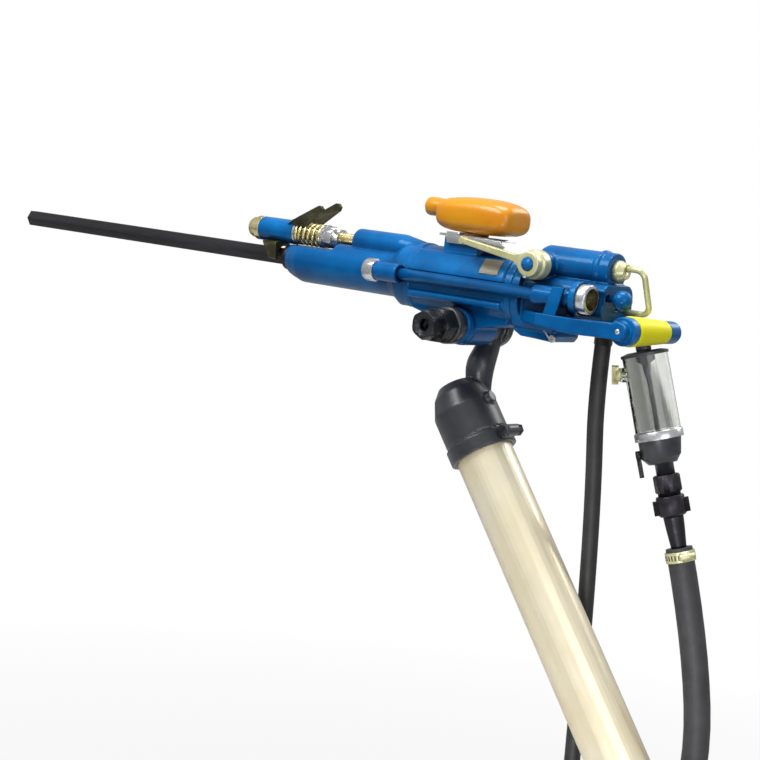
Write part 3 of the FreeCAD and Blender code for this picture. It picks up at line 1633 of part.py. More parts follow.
def oil_lever():
    """The small hanging lever that sets the oil feed, on a pin at the base's side."""
    way = FreeCAD.Vector(-0.80, -0.60, 0)
    way = (way - LUBE_WAY * way.dot(LUBE_WAY)).normalize()
    hub_place = lube_spot(base_start + base_length * 0.57) + way * (base_radius + face_gap)
    hub = rod(oil_lever_width * 0.75, oil_lever_thick, hub_place, way)
    low = rod(oil_lever_width * 0.4, oil_lever_thick, hub_place + LUBE_WAY * oil_lever_drop, way)
    blade = block(-oil_lever_width * 0.4, oil_lever_width * 0.4, 0, oil_lever_drop, 0, oil_lever_thick)
    across = way.cross(LUBE_WAY).normalize()
    up = way
    matrix = FreeCAD.Matrix(
        across.x, LUBE_WAY.x, up.x, hub_place.x,
        across.y, LUBE_WAY.y, up.y, hub_place.y,
        across.z, LUBE_WAY.z, up.z, hub_place.z,
        0, 0, 0, 1,
    )
    blade = blade.transformGeometry(matrix)
    return joined([hub, low, blade])


def coupling_nut():
    body = nut(coupling_flats, neck_outer * 0.8, coupling_length, lube_spot(coupling_start + face_gap), LUBE_WAY, 10)
    collar = rod(collar_out, collar_step, lube_spot(coupling_start + coupling_length), LUBE_WAY)
    return joined([body, collar])


def wing_nut():
    body = turned(
        [
            (0, wing_radius - collar_chamfer / 2),
            (collar_chamfer / 2, wing_radius),
            (wing_length - collar_chamfer, wing_radius),
            (wing_length, wing_radius - collar_chamfer),
        ],
        lube_spot(wing_start + face_gap),
        LUBE_WAY,
    )
    lugs = block(-wing_lug, wing_lug, -wing_lug_width / 2, wing_lug_width / 2, wing_length * 0.2, wing_length * 0.9)
    lugs = aimed(lugs, lube_spot(wing_start), LUBE_WAY)
    body = joined([body, lugs])
    return body.cut(rod(tail_low + curved_gap, 2 * wing_length, lube_spot(wing_start - overrun), LUBE_WAY))


def hose_tail():
    stem = rod(tail_low, wing_length + overrun, lube_spot(wing_start + face_gap), LUBE_WAY)
    body = turned(
        [(0, tail_top), (tail_length * 0.3, tail_top * 0.95), (tail_length - face_gap * 2, tail_low)],
        lube_spot(tail_start + face_gap * 2),
        LUBE_WAY,
    )
    return joined([stem, body])


clamp_start = 4.0
clamp_width = 13.0
clamp_thick = 1.8
clamp_lug = 9.0
clamp_screw = 4.0


def hose_clamp():
    place = lube_spot(hose_start + clamp_start)
    band = tube(air_hose_radius + snug_gap + clamp_thick, air_hose_radius + snug_gap, clamp_width, place, LUBE_WAY)
    side = FreeCAD.Vector(0.75, -0.62, 0.15)
    side = (side - LUBE_WAY * side.dot(LUBE_WAY)).normalize()
    across = LUBE_WAY.cross(side)
    spot = place + side * (air_hose_radius + clamp_thick + clamp_screw * 0.8) + LUBE_WAY * clamp_width / 2
    lug = rod(clamp_screw, clamp_width * 1.5, spot - across * clamp_width * 0.75, across)
    return joined([band, lug])


# Hoses: straight runs joined by tangent arcs, and a put-away coil of each on the floor
run_share = 0.45


def hose_edges(points, radius, name):
    """The hose's path. Each arc is as large as its two runs allow."""
    edges, start, smallest = [], points[0], 1e9
    for i in range(1, len(points) - 1):
        a, b = points[i - 1] - points[i], points[i + 1] - points[i]
        half = (math.pi - a.getAngle(b)) / 2
        reach = run_share * min(a.Length, b.Length)
        bend = reach / math.tan(half)
        smallest = min(smallest, bend)
        u, v = FreeCAD.Vector(a).normalize(), FreeCAD.Vector(b).normalize()
        first, last = points[i] + u * reach, points[i] + v * reach
        inward = (u + v).normalize()
        middle = points[i] + inward * (bend / math.cos(half) - bend)
        edges += [Part.LineSegment(start, first).toShape(), Part.Arc(first, middle, last).toShape()]
        start = last
    edges.append(Part.LineSegment(start, points[-1]).toShape())
    long = sum(e.Length for e in edges)
    print(name, "length", round(long), "least radius", round(smallest), "in diameters", round(smallest / 2 / radius, 1))
    return edges, long


def hose(points, radius, name):
    edges, long = hose_edges(points, radius, name)
    solid = piped(edges, radius)
    print(name, "volume share", round(solid.Volume / (math.pi * radius**2 * long), 4))
    return solid


# The put-away length of each hose lies on the floor in two layers
coil_turns = 2.25
coil_air = 0.8  # between the layers
coil_step_share = 1.08  # from one turn to the next, in hose diameters
coil_climb_share = 0.5  # of a turn, spent climbing to the upper layer


def coil_place(middle, radius, tube_radius, start_angle, spin, u):
    """A place on the coil at u turns: it spirals in on the floor, climbs, and spirals out on top."""
    climb = min(max((u - coil_turns / 2) / coil_climb_share + 0.5, 0.0), 1.0)
    climb = climb * climb * (3 - 2 * climb)
    drawn = 2 * tube_radius * coil_step_share * min(u, coil_turns - u)
    a = start_angle + spin * 2 * math.pi * u
    lift = tube_radius + climb * (2 * tube_radius + coil_air)
    return middle + at((radius - drawn) * math.cos(a), (radius - drawn) * math.sin(a), lift)


def coil(middle, radius, tube_radius, start_angle, spin, name):
    """The coil as one unbroken tube, with a straight lead of one diameter at each end."""

    def spot(u):
        return coil_place(middle, radius, tube_radius, start_angle, spin, u)

    def heading(u):
        step = 1e-4
        return (spot(min(u + step, coil_turns)) - spot(max(u - step, 0.0))).normalize()

    count = int(coil_turns * 4)
    marks = [coil_turns * k / count for k in range(count + 1)]
    edges = []
    for a, b in zip(marks, marks[1:]):
        edges += biarc(spot(a), heading(a), spot(b), heading(b))
    lead = 2 * tube_radius
    first = spot(0.0) - heading(0.0) * lead
    last = spot(coil_turns) + heading(coil_turns) * lead
    edges = [Part.LineSegment(first, spot(0.0)).toShape()] + edges
    edges.append(Part.LineSegment(spot(coil_turns), last).toShape())
    gap = least_gap(lambda k: spot(k / 24), int(coil_turns * 24), 24, tube_radius)
    print(name, "length", round(sum(e.Length for e in edges)), "self gap", round(gap, 2))
    return piped(edges, tube_radius), first, heading(0.0), last, heading(coil_turns)


# Air hose: from the lubricator's tail down to the floor and into its coil
air_coil_radius = 188.0
AIR_COIL_MIDDLE = at(1440, 266, floor_z)
hose_straight = 115.0  # run below the clamp before the hose turns down
AIR_LOWER = [
    at(1220, 90, -560),
    at(1178, 96, -735),
    at(1152, 94, -895),
    at(1152, 88, -1022),
    at(1206, 82, -1119),
]
air_last_run = 107.0


def air_coil():
    return coil(AIR_COIL_MIDDLE, air_coil_radius, air_hose_radius, -math.pi / 2, 1, "air hose coil")


def air_hose():
    _, entry, way, _, _ = air_coil()
    before = entry - way * air_last_run
    points = [lube_spot(hose_start), lube_spot(hose_start + hose_straight)] + AIR_LOWER + [before, entry]
    return hose(points, air_hose_radius, "air hose")


claw_ferrule = 34.0
claw_neck = 14.0
claw_flange_radius = 24.0
claw_flange = 9.0
claw_depth = 13.0
claw_bore_radius = 10.0


def air_hose_coupling():
    """A claw coupling: ferrule, neck, flange and two hooked claws around the open bore."""
    end, way = air_coil()[3:]
    profile = [
        (0, air_hose_radius + overrun),
        (claw_ferrule, air_hose_radius + overrun),
        (claw_ferrule, claw_flange_radius * 0.6),
        (claw_ferrule + claw_neck, claw_flange_radius * 0.6),
        (claw_ferrule + claw_neck, claw_flange_radius),
        (claw_ferrule + claw_neck + claw_flange, claw_flange_radius),
    ]
    start = claw_ferrule + claw_neck + claw_flange
    body = turned(profile, at(0), AZ)
    for k in range(2):
        claw = tube(claw_flange_radius, claw_flange_radius * 0.7, claw_depth, at(0, 0, start), AZ)
        wide = claw_flange_radius
        claw = claw.common(block(0, wide, -wide * 0.55, wide * 0.55, start, start + claw_depth))
        claw.rotate(at(0), AZ, 180 * k)
        body = body.fuse(claw)
    lip = rod(claw_bore_radius * 1.3, claw_depth * 0.3, at(0, 0, start), AZ)
    body = joined([body, lip]).cut(rod(claw_bore_radius, start, at(0, 0, claw_ferrule * 0.5), AZ))
    return aimed(body, end, way)


# Water hose: from the port under the back head down to the floor and into its coil
water_nut_flats = 24.0
water_nut_length = 13.0
water_ferrule = 12.0
water_tail_end = at(water_port_x, water_port_y, water_port_z - water_nut_length - water_ferrule)
water_coil_radius = 126.0
water_last_run = 75.0
WATER_COIL_MIDDLE = at(800, 208, floor_z)
WATER_LOWER = [
    at(1042, 30, -122),
    at(1043, 47, -218),
    at(1043, 62, -330),
    at(1047, 70, -490),
    at(1052, 75, -690),
    at(1048, 78, -890),
    at(1026, 80, -1040),
    at(960, 82, -1142),
]


def water_coil():
    return coil(WATER_COIL_MIDDLE, water_coil_radius, water_hose_radius, -math.pi / 2, -1, "water hose coil")


def water_hose():
    _, entry, way, _, _ = water_coil()
    points = [water_tail_end] + WATER_LOWER + [entry - way * water_last_run, entry]
    return hose(points, water_hose_radius, "water hose")


def water_tail():
    """The union nut on the water port and the crimped ferrule that grips the hose."""
    place = at(water_port_x, water_port_y, water_port_z - face_gap)
    body = nut(water_nut_flats, water_bore_radius, water_nut_length - face_gap, place, -AZ)
    ferrule = rod(water_hose_radius + overrun / 2, water_ferrule, place - AZ * (water_nut_length - face_gap), -AZ)
    return joined([body, ferrule])


def water_hose_end():
    """A short ferrule with the hexagon union that screws onto the water supply."""
    end, way = water_coil()[3:]
    ferrule = turned(
        [(0, water_hose_radius + overrun / 2), (water_ferrule * 1.6, water_hose_radius + overrun / 2)], at(0), AZ
    )
    union = nut(water_nut_flats, water_bore_radius, water_nut_length * 1.4, at(0, 0, water_ferrule * 1.6), AZ)
    return aimed(joined([ferrule, union]), end, way)


if __name__ == "__main__":
    save("drill_steel", drill_steel())
    save("rotation_sleeve", rotation_sleeve())
    save("chuck_bush", chuck_bush())
    save("front_head", front_head())
    save("guide_bush", guide_bush())
    save("retainer_bolt", retainer_bolt())
    save("steel_retainer", steel_retainer())
    save("retainer_spring", retainer_spring())
    save("retainer_nuts", retainer_nuts())
    save("cylinder", cylinder())
    save("piston", piston())
    save("rifle_nut", rifle_nut())
    save("rifle_bar", rifle_bar())
    save("ratchet_ring", ratchet_ring())
    save("pawls", Part.makeCompound([pawl(k) for k in range(4)]))
    save("valve_chest", valve_chest())
    save("flap_valve", flap_valve())
    save("back_head", back_head())
    save("retract_button", retract_button())
    save("tie_rods", tie_rods())
    save("tie_rod_nuts", tie_rod_nuts())
    save("muffler", muffler())
    save("muffler_bracket", muffler_bracket())
    save("bracket_bolts", bracket_bolts())
    save("throttle_lever", throttle_lever())
    save("throttle_spindle", throttle_spindle())
    save("handle", handle())
    save("grip_sleeve", grip_sleeve())
    save("side_socket", side_socket())
    save("rear_cap", rear_cap())
    save("supply_pipe", supply_pipe())
    save("water_needle", water_needle())
    save("leg_head", leg_head())
    save("clamp_bolt", clamp_bolt())
    save("cross_shaft", cross_shaft())
    save("shaft_barrel", shaft_barrel())
    save("shaft_nuts", shaft_nuts())
    save("leg_outer_tube", leg_outer_tube())
    save("leg_gland", leg_gland())
    save("leg_piston", leg_piston())
    save("leg_rod", leg_rod())
    save("leg_air_pipe", leg_air_pipe())
    save("foot_fork", foot_fork())
    save("inlet_elbow", inlet_elbow())
    save("lubricator_head", lubricator_head())
    save("clear_cup", clear_cup())
    save("filler_plug", filler_plug())
    save("lubricator_base", lubricator_base())
    save("oil_lever", oil_lever())
    save("coupling_nut", coupling_nut())
    save("wing_nut", wing_nut())
    save("hose_tail", hose_tail())
    save("hose_clamp", hose_clamp())
    save("water_tail", water_tail())
    save("air_hose", air_hose())
    save("air_hose_coil", air_coil()[0])
    save("air_hose_coupling", air_hose_coupling())
    save("water_hose", water_hose())
    save("water_hose_coil", water_coil()[0])
    save("water_hose_end", water_hose_end())
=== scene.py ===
import bpy
import bmesh
import json
import math
from mathutils import Matrix, Vector

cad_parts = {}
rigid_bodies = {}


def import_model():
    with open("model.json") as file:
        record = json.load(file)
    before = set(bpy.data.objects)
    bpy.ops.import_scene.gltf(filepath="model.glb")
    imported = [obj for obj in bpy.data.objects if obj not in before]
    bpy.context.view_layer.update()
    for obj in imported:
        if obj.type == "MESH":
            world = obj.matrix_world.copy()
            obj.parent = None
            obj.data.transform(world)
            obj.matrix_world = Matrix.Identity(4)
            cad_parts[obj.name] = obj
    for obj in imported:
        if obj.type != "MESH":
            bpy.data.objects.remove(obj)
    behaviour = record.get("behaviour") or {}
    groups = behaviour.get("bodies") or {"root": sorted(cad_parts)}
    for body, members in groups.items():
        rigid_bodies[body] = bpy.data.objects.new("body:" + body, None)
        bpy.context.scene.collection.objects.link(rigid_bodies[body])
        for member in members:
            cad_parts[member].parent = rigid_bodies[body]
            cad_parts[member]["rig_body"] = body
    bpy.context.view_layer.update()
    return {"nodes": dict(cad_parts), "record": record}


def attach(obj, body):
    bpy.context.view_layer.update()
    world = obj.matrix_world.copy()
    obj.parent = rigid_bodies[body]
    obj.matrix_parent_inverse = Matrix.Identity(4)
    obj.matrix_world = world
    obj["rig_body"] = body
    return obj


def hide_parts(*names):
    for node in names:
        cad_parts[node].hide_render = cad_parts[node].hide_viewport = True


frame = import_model()
scene = bpy.context.scene
nodes = frame["nodes"]
print("frame loaded:", len(nodes), "nodes")


# Camera, as it stood for the photograph
cameraSizes = {
    "place": (2.22348, -1.91976, 0.11151),
    "right": (0.775392, 0.621049, 0.114308),
    "up": (-0.154499, 0.011061, 0.987931),
    "back": (0.612289, -0.783694, 0.104528),
    "lens": 86.73,
    "sensor": 36.0,
    "clipEnd": 60,
}


def makeCamera(sizes):
    data = bpy.data.cameras.new("photoCamera")
    data.lens = sizes["lens"]
    data.sensor_width = sizes["sensor"]
    data.clip_end = sizes["clipEnd"]
    camera = bpy.data.objects.new("photoCamera", data)
    turn = Matrix([sizes["right"], sizes["up"], sizes["back"]]).transposed()
    camera.matrix_world = Matrix.Translation(sizes["place"]) @ turn.to_4x4()
    scene.collection.objects.link(camera)
    scene.camera = camera


makeCamera(cameraSizes)
print("camera set")


# Shader helpers shared by every finish
def linear(r, g, b):
    def one(v):
        v /= 255
        return v / 12.92 if v <= 0.04045 else ((v + 0.055) / 1.055) ** 2.4

    return (one(r), one(g), one(b), 1.0)


def addNode(tree, kind, place, **settings):
    node = tree.nodes.new(kind)
    node.location = place
    for key, value in settings.items():
        setattr(node, key, value)
    return node


def objectPoint(tree, scale=(1, 1, 1)):
    coord = addNode(tree, "ShaderNodeTexCoord", (-1400, 0))
    mapping = addNode(tree, "ShaderNodeMapping", (-1200, 0))
    mapping.inputs["Scale"].default_value = scale
    tree.links.new(coord.outputs["Object"], mapping.inputs["Vector"])
    return mapping.outputs["Vector"]


def noise(tree, vector, scale, detail, rough, place=(-900, 0)):
    node = addNode(tree, "ShaderNodeTexNoise", place)
    node.inputs["Scale"].default_value = scale
    node.inputs["Detail"].default_value = detail
    node.inputs["Roughness"].default_value = rough
    tree.links.new(vector, node.inputs["Vector"])
    return node.outputs["Fac"]


def ramp(tree, factor, stops, place=(-600, 0)):
    node = addNode(tree, "ShaderNodeValToRGB", place)
    band = node.color_ramp
    band.elements[0].position, band.elements[0].color = stops[0]
    band.elements[1].position, band.elements[1].color = stops[-1]
    for position, colour in stops[1:-1]:
        band.elements.new(position).color = colour
    tree.links.new(factor, node.inputs["Fac"])
    return node.outputs["Color"]


def span(tree, factor, low, high, fromLow=0.0, fromHigh=1.0, place=(-500, -300)):
    node = addNode(tree, "ShaderNodeMapRange", place)
    node.inputs["From Min"].default_value = fromLow
    node.inputs["From Max"].default_value = fromHigh
    node.inputs["To Min"].default_value = low
    node.inputs["To Max"].default_value = high
    tree.links.new(factor, node.inputs["Value"])
    return node.outputs["Result"]


def bumped(tree, height, strength, distance, normal, place=(-300, -500)):
    node = addNode(tree, "ShaderNodeBump", place)
    node.inputs["Strength"].default_value = strength
    node.inputs["Distance"].default_value = distance
    tree.links.new(height, node.inputs["Height"])
    tree.links.new(normal, node.inputs["Normal"])
    return node.outputs["Normal"]


def mixed(tree, factor, a, b, place=(-350, 100)):
    node = addNode(tree, "ShaderNodeMix", place, data_type="RGBA")
    factorInput = [s for s in node.inputs if s.name == "Factor" and s.type == "VALUE"][0]
    tree.links.new(factor, factorInput)
    colourInputs = [s for s in node.inputs if s.type == "RGBA"]
    for socket, value in zip(colourInputs, (a, b)):
        if isinstance(value, tuple):
            socket.default_value = value
        else:
            tree.links.new(value, socket)
    return [s for s in node.outputs if s.type == "RGBA"][0]


# What the finishes share: how fine their noises are, and how far each noise reaches
skinSizes = {
    "patchDetail": 5.0, "patchRough": 0.6,
    "grainDetail": 3.0, "grainRough": 0.6, "grainFrom": 0.3, "grainTo": 0.7, "grainDepth": 0.0004,
    "bumpDetail": 4.0, "bumpRough": 0.5, "bumpDepth": 0.001,
    "paintedShadeFrom": 0.25, "paintedShadeTo": 0.85, "paintedShadeSamples": 4, "edgeSamples": 6,
}


# look is one of the dictionaries of sizes and colours below
def finishOf(name, look):
    skin = skinSizes
    material = bpy.data.materials.new(name)
    material.use_nodes = True
    tree = material.node_tree
    shader = tree.nodes["Principled BSDF"]
    point = objectPoint(tree, look.get("stretch", (1, 1, 1)))
    patches = noise(tree, point, look["patchScale"], skin["patchDetail"], skin["patchRough"], (-900, 300))
    colour = ramp(tree, patches, look["stops"], (-650, 300))
    grain = noise(tree, point, look["grainScale"], skin["grainDetail"], skin["grainRough"], (-900, -100))
    if "paintedShade" in look:  # painted shade: a darker colour laid in corners and seams, where shade falls
        shadeNode = addNode(tree, "ShaderNodeAmbientOcclusion", (-900, 600), samples=skin["paintedShadeSamples"])
        shadeNode.inputs["Distance"].default_value = look["paintedShadeReach"]
        reach = (skin["paintedShadeFrom"], skin["paintedShadeTo"])
        # Painted shade: the occlusion sets how much of the dark colour is laid over the paint
        paintedShadeShare = span(tree, shadeNode.outputs["AO"], look["paintedShadeDepth"], 0.0, *reach, (-650, 600))
        colour = mixed(tree, paintedShadeShare, colour, look["paintedShade"], (-400, 400))
    tree.links.new(colour, shader.inputs["Base Color"])
    low, high = look["rough"]
    roughness = span(tree, grain, low, high, skin["grainFrom"], skin["grainTo"])
    tree.links.new(roughness, shader.inputs["Roughness"])
    if "edge" in look:  # softens the shading at hard corners; a plated part keeps them crisp
        height = noise(tree, point, look["bumpScale"], skin["bumpDetail"], skin["bumpRough"], (-900, -400))
        rounded = addNode(tree, "ShaderNodeBevel", (-600, -700), samples=skin["edgeSamples"])
        rounded.inputs["Radius"].default_value = look["edge"]
        fine = bumped(tree, grain, look["grainStrength"], skin["grainDepth"], rounded.outputs["Normal"])
        normal = bumped(tree, height, look["bumpStrength"], skin["bumpDepth"], fine, (-100, -500))
        tree.links.new(normal, shader.inputs["Normal"])
    shader.inputs["Metallic"].default_value = look.get("metal", 0.0)
    shader.inputs["Coat Weight"].default_value = look.get("coat", 0.0)
    shader.inputs["Coat Roughness"].default_value = look.get("coatRough", 0.08)
    shader.inputs["Specular IOR Level"].default_value = look.get("specular", 0.5)
    shader.inputs["Specular Tint"].default_value = look.get("tint", (1, 1, 1, 1))
    return material


# Looks: colours, grain and roughness of each finish
blueEnamel = {
    "patchScale": 16.0,
    "stops": [(0.25, linear(0, 72, 132)), (0.5, linear(0, 97, 166)), (0.78, linear(1, 122, 198))],
    "grainScale": 900.0, "grainStrength": 0.03, "bumpScale": 110.0, "bumpStrength": 0.12,
    "rough": (0.26, 0.4), "coat": 0.22, "coatRough": 0.08, "edge": 0.0012, "specular": 0.3,
    "tint": (0.12, 0.6, 1.0, 1),
    # Painted shade: a dark navy laid in corners, seams and recesses, where shade falls
    "paintedShade": linear(2, 20, 54), "paintedShadeReach": 0.06, "paintedShadeDepth": 0.9,
}
blackEnamel = {
    "patchScale": 20.0,
    "stops": [(0.25, linear(30, 31, 36)), (0.5, linear(46, 48, 54)), (0.8, linear(66, 69, 76))],
    "grainScale": 800.0, "grainStrength": 0.06, "bumpScale": 90.0, "bumpStrength": 0.16,
    "rough": (0.3, 0.48), "coat": 0.3, "coatRough": 0.22, "edge": 0.001,
}
drillSteelSkin = {
    "patchScale": 30.0,
    "stops": [(0.2, linear(28, 27, 30)), (0.5, linear(48, 46, 51)), (0.8, linear(76, 73, 80))],
    "grainScale": 260.0, "grainStrength": 0.25, "bumpScale": 60.0, "bumpStrength": 0.15,
    "rough": (0.3, 0.55), "metal": 0.75, "edge": 0.0012, "stretch": (0.12, 1, 1),
}
oliveForging = {
    "patchScale": 40.0,
    "stops": [(0.2, linear(36, 37, 24)), (0.5, linear(64, 64, 44)), (0.8, linear(102, 100, 74))],
    "grainScale": 500.0, "grainStrength": 0.15, "bumpScale": 120.0, "bumpStrength": 0.2,
    "rough": (0.32, 0.55), "metal": 0.7, "edge": 0.0012,
}
yellowZinc = {
    "patchScale": 70.0,
    "stops": [(0.2, linear(192, 172, 104)), (0.5, linear(222, 210, 152)), (0.8, linear(240, 232, 192))],
    "grainScale": 900.0, "grainStrength": 0.05, "bumpScale": 200.0, "bumpStrength": 0.05,
    "rough": (0.18, 0.32), "metal": 0.9, "edge": 0.0006,
}
creamZinc = {
    "patchScale": 45.0,
    "stops": [(0.2, linear(190, 188, 134)), (0.5, linear(216, 214, 164)), (0.8, linear(230, 230, 192))],
    "grainScale": 900.0, "grainStrength": 0.05, "bumpScale": 160.0, "bumpStrength": 0.08,
    "rough": (0.26, 0.42), "metal": 0.35, "coat": 0.2, "edge": 0.0008,
}
brightZinc = {
    "patchScale": 26.0,
    "stops": [(0.2, linear(176, 178, 181)), (0.5, linear(206, 208, 210)), (0.8, linear(228, 230, 230))],
    "grainScale": 200.0, "rough": (0.24, 0.34), "metal": 0.9,
}
darkNutSkin = {
    "patchScale": 50.0,
    "stops": [(0.2, linear(26, 27, 30)), (0.5, linear(48, 50, 54)), (0.8, linear(82, 84, 88))],
    "grainScale": 600.0, "grainStrength": 0.1, "bumpScale": 150.0, "bumpStrength": 0.12,
    "rough": (0.26, 0.5), "metal": 0.7, "edge": 0.0008,
}
orangeMoulding = {
    "patchScale": 14.0,
    "stops": [(0.2, linear(222, 132, 0)), (0.5, linear(232, 150, 0)), (0.8, linear(242, 170, 4))],
    "grainScale": 700.0, "grainStrength": 0.03, "bumpScale": 60.0, "bumpStrength": 0.06,
    "rough": (0.24, 0.36), "coat": 0.25, "coatRough": 0.2, "edge": 0.0008,
}
yellowGrip = {
    "patchScale": 24.0,
    "stops": [(0.2, linear(248, 240, 0)), (0.5, linear(254, 248, 0)), (0.8, linear(255, 252, 4))],
    "grainScale": 700.0, "grainStrength": 0.06, "bumpScale": 120.0, "bumpStrength": 0.05,
    "rough": (0.36, 0.5), "edge": 0.0008, "specular": 0.25,
}
champagneTube = {
    "patchScale": 9.0,
    "stops": [(0.2, linear(240, 224, 182)), (0.5, linear(247, 236, 204)), (0.8, linear(252, 245, 222))],
    "grainScale": 60.0, "grainStrength": 0.0, "bumpScale": 30.0, "bumpStrength": 0.0,
    "rough": (0.28, 0.36), "metal": 0.45, "edge": 0.0008,
}
blackRubber = {
    "patchScale": 30.0,
    "stops": [(0.2, linear(46, 46, 49)), (0.5, linear(60, 60, 64)), (0.8, linear(74, 74, 79))],
    "grainScale": 900.0, "grainStrength": 0.18, "bumpScale": 240.0, "bumpStrength": 0.15,
    "rough": (0.45, 0.68), "edge": 0.0005,
}
greyRubber = {
    "patchScale": 30.0,
    "stops": [(0.2, linear(32, 32, 34)), (0.5, linear(42, 42, 44)), (0.8, linear(54, 54, 56))],
    "grainScale": 900.0, "grainStrength": 0.18, "bumpScale": 240.0, "bumpStrength": 0.15,
    "rough": (0.42, 0.65), "edge": 0.0005,
}
bronzeSkin = {
    "patchScale": 50.0,
    "stops": [(0.2, linear(150, 104, 50)), (0.5, linear(186, 138, 76)), (0.8, linear(214, 172, 108))],
    "grainScale": 800.0, "grainStrength": 0.06, "bumpScale": 200.0, "bumpStrength": 0.05,
    "rough": (0.2, 0.36), "metal": 0.95, "edge": 0.0005,
}

finishes = {
    "blue_paint": finishOf("blueEnamel", blueEnamel),
    "black_paint": finishOf("blackEnamel", blackEnamel),
    "dark_steel": finishOf("drillSteelSkin", drillSteelSkin),
    "olive_steel": finishOf("oliveForging", oliveForging),
    "yellow_zinc": finishOf("yellowZinc", yellowZinc),
    "cream_zinc": finishOf("creamZinc", creamZinc),
    "bright_steel": finishOf("brightZinc", brightZinc),
    "orange_plastic": finishOf("orangeMoulding", orangeMoulding),
    "yellow_plastic": finishOf("yellowGrip", yellowGrip),
    "champagne_aluminium": finishOf("champagneTube", champagneTube),
    "black_rubber": finishOf("blackRubber", blackRubber),
    "grey_rubber": finishOf("greyRubber", greyRubber),
    "bronze": finishOf("bronzeSkin", bronzeSkin),
    "brass_fitting": finishOf("brassSkin", bronzeSkin),
}
# Finishes of a piece that shows another skin than its slot's
rustyBore = {
    "patchScale": 140.0,
    "stops": [(0.25, linear(30, 26, 20)), (0.5, linear(74, 66, 38)), (0.8, linear(140, 128, 60))],
    "grainScale": 500.0, "grainStrength": 0.3, "bumpScale": 200.0, "bumpStrength": 0.3,
    "rough": (0.4, 0.7), "metal": 0.5, "edge": 0.0004,
}
brassThread = {
    "patchScale": 90.0,
    "stops": [(0.2, linear(156, 136, 84)), (0.5, linear(206, 190, 136)), (0.8, linear(232, 222, 178))],
    "grainScale": 900.0, "grainStrength": 0.08, "bumpScale": 300.0, "bumpStrength": 0.08,
    "rough": (0.22, 0.4), "metal": 0.9, "edge": 0.0003,
}
platePlain = {
    "patchScale": 60.0,
    "stops": [(0.2, linear(84, 82, 72)), (0.5, linear(108, 105, 92)), (0.8, linear(134, 130, 114))],
    "grainScale": 700.0, "grainStrength": 0.15, "bumpScale": 200.0, "bumpStrength": 0.1,
    "rough": (0.3, 0.5), "metal": 0.6, "edge": 0.0003, "stretch": (0.15, 1, 1),
}
finishes["dark_nut"] = finishOf("darkNutSkin", darkNutSkin)
finishes["rusty_bore"] = finishOf("rustyBore", rustyBore)
finishes["brass_thread"] = finishOf("brassThread", brassThread)
finishes["label_plate"] = finishOf("platePlain", platePlain)


clearCupSkin = {
    "hazeScale": 40.0, "hazeDetail": 4.0, "hazeRough": 0.6, "rough": (0.02, 0.1), "index": 1.45,
    "stops": [(0.3, linear(232, 234, 230)), (0.7, linear(248, 249, 246))],
}


def clearPlastic(look):
    material = bpy.data.materials.new("clearCupPlastic")
    material.use_nodes = True
    tree = material.node_tree
    shader = tree.nodes["Principled BSDF"]
    haze = noise(tree, objectPoint(tree), look["hazeScale"], look["hazeDetail"], look["hazeRough"])
    tree.links.new(ramp(tree, haze, look["stops"]), shader.inputs["Base Color"])
    tree.links.new(span(tree, haze, *look["rough"]), shader.inputs["Roughness"])
    shader.inputs["Transmission Weight"].default_value = 1.0
    shader.inputs["IOR"].default_value = look["index"]
    return material


finishes["clear_plastic"] = clearPlastic(clearCupSkin)
slotOf = {p["node"]: p["material_slot"] for p in frame["record"]["subparts"]}
for name, node in nodes.items():
    node.data.materials.clear()
    node.data.materials.append(finishes[slotOf[name]])
print("finishes made:", len(finishes))


# Helpers for the dressed pieces. An angle is where a smooth face ends and a sharp corner starts
angles = {"plain": 35.0, "machined": 32.0, "wire": 50.0, "moulded": 60.0, "cast": 180.0}
meshSizes = {"weld": 2e-6, "castSmooth": 0.5, "turnSteps": 40, "bevelSteps": 3}


def bodyOf(nodeName):
    return nodes[nodeName]["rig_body"]


def addPiece(name, mesh, body, slotName, finish=None, smoothAngle=angles["plain"]):
    mesh.materials.clear()
    mesh.materials.append(finish or finishes[slotName])
    for polygon in mesh.polygons:
        polygon.use_smooth = True
    mesh.set_sharp_from_angle(angle=math.radians(smoothAngle))
    piece = bpy.data.objects.new(name, mesh)
    scene.collection.objects.link(piece)
    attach(piece, body)
    return piece


# A welded copy of a node's triangles
def mergedCopy(nodeName):
    work = bmesh.new()
    work.from_mesh(nodes[nodeName].data)
    bmesh.ops.remove_doubles(work, verts=work.verts, dist=meshSizes["weld"])
    return work


def meshFrom(work, name):
    mesh = bpy.data.meshes.new(name)
    work.to_mesh(mesh)
    work.free()
    return mesh


# Runs modifiers on a mesh and gives the plain result
def baked(mesh, modifiers):
    holder = bpy.data.objects.new("bench", mesh)
    scene.collection.objects.link(holder)
    for kind, settings in modifiers:
        modifier = holder.modifiers.new(kind, kind)
        for key, value in settings.items():
            setattr(modifier, key, value)
    bpy.context.view_layer.update()
    graph = bpy.context.evaluated_depsgraph_get()
    result = bpy.data.meshes.new_from_object(holder.evaluated_get(graph))
    bpy.data.objects.remove(holder)
    return result


def moveVertices(mesh, rule):
    for vertex in mesh.vertices:
        vertex.co = rule(vertex.co.copy())
    mesh.update()


def eased(value, low, high):
    share = min(max((value - low) / (high - low), 0.0), 1.0)
    return share * share * (3 - 2 * share)


# A casting: the node's form with every corner softened, as sand and paint leave it
def castPiece(nodeName, voxel, passes, keep, reshape=None):
    result = baked(meshFrom(mergedCopy(nodeName), nodeName + "Cast"), [
        ("REMESH", {"mode": "VOXEL", "voxel_size": voxel, "use_smooth_shade": True}),
        ("SMOOTH", {"factor": meshSizes["castSmooth"], "iterations": passes}),
        ("DECIMATE", {"ratio": keep}),
    ])
    if reshape:
        moveVertices(result, reshape)
    piece = addPiece(nodeName + "Cast", result, bodyOf(nodeName), slotOf[nodeName], None, angles["cast"])
    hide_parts(nodeName)
    return piece


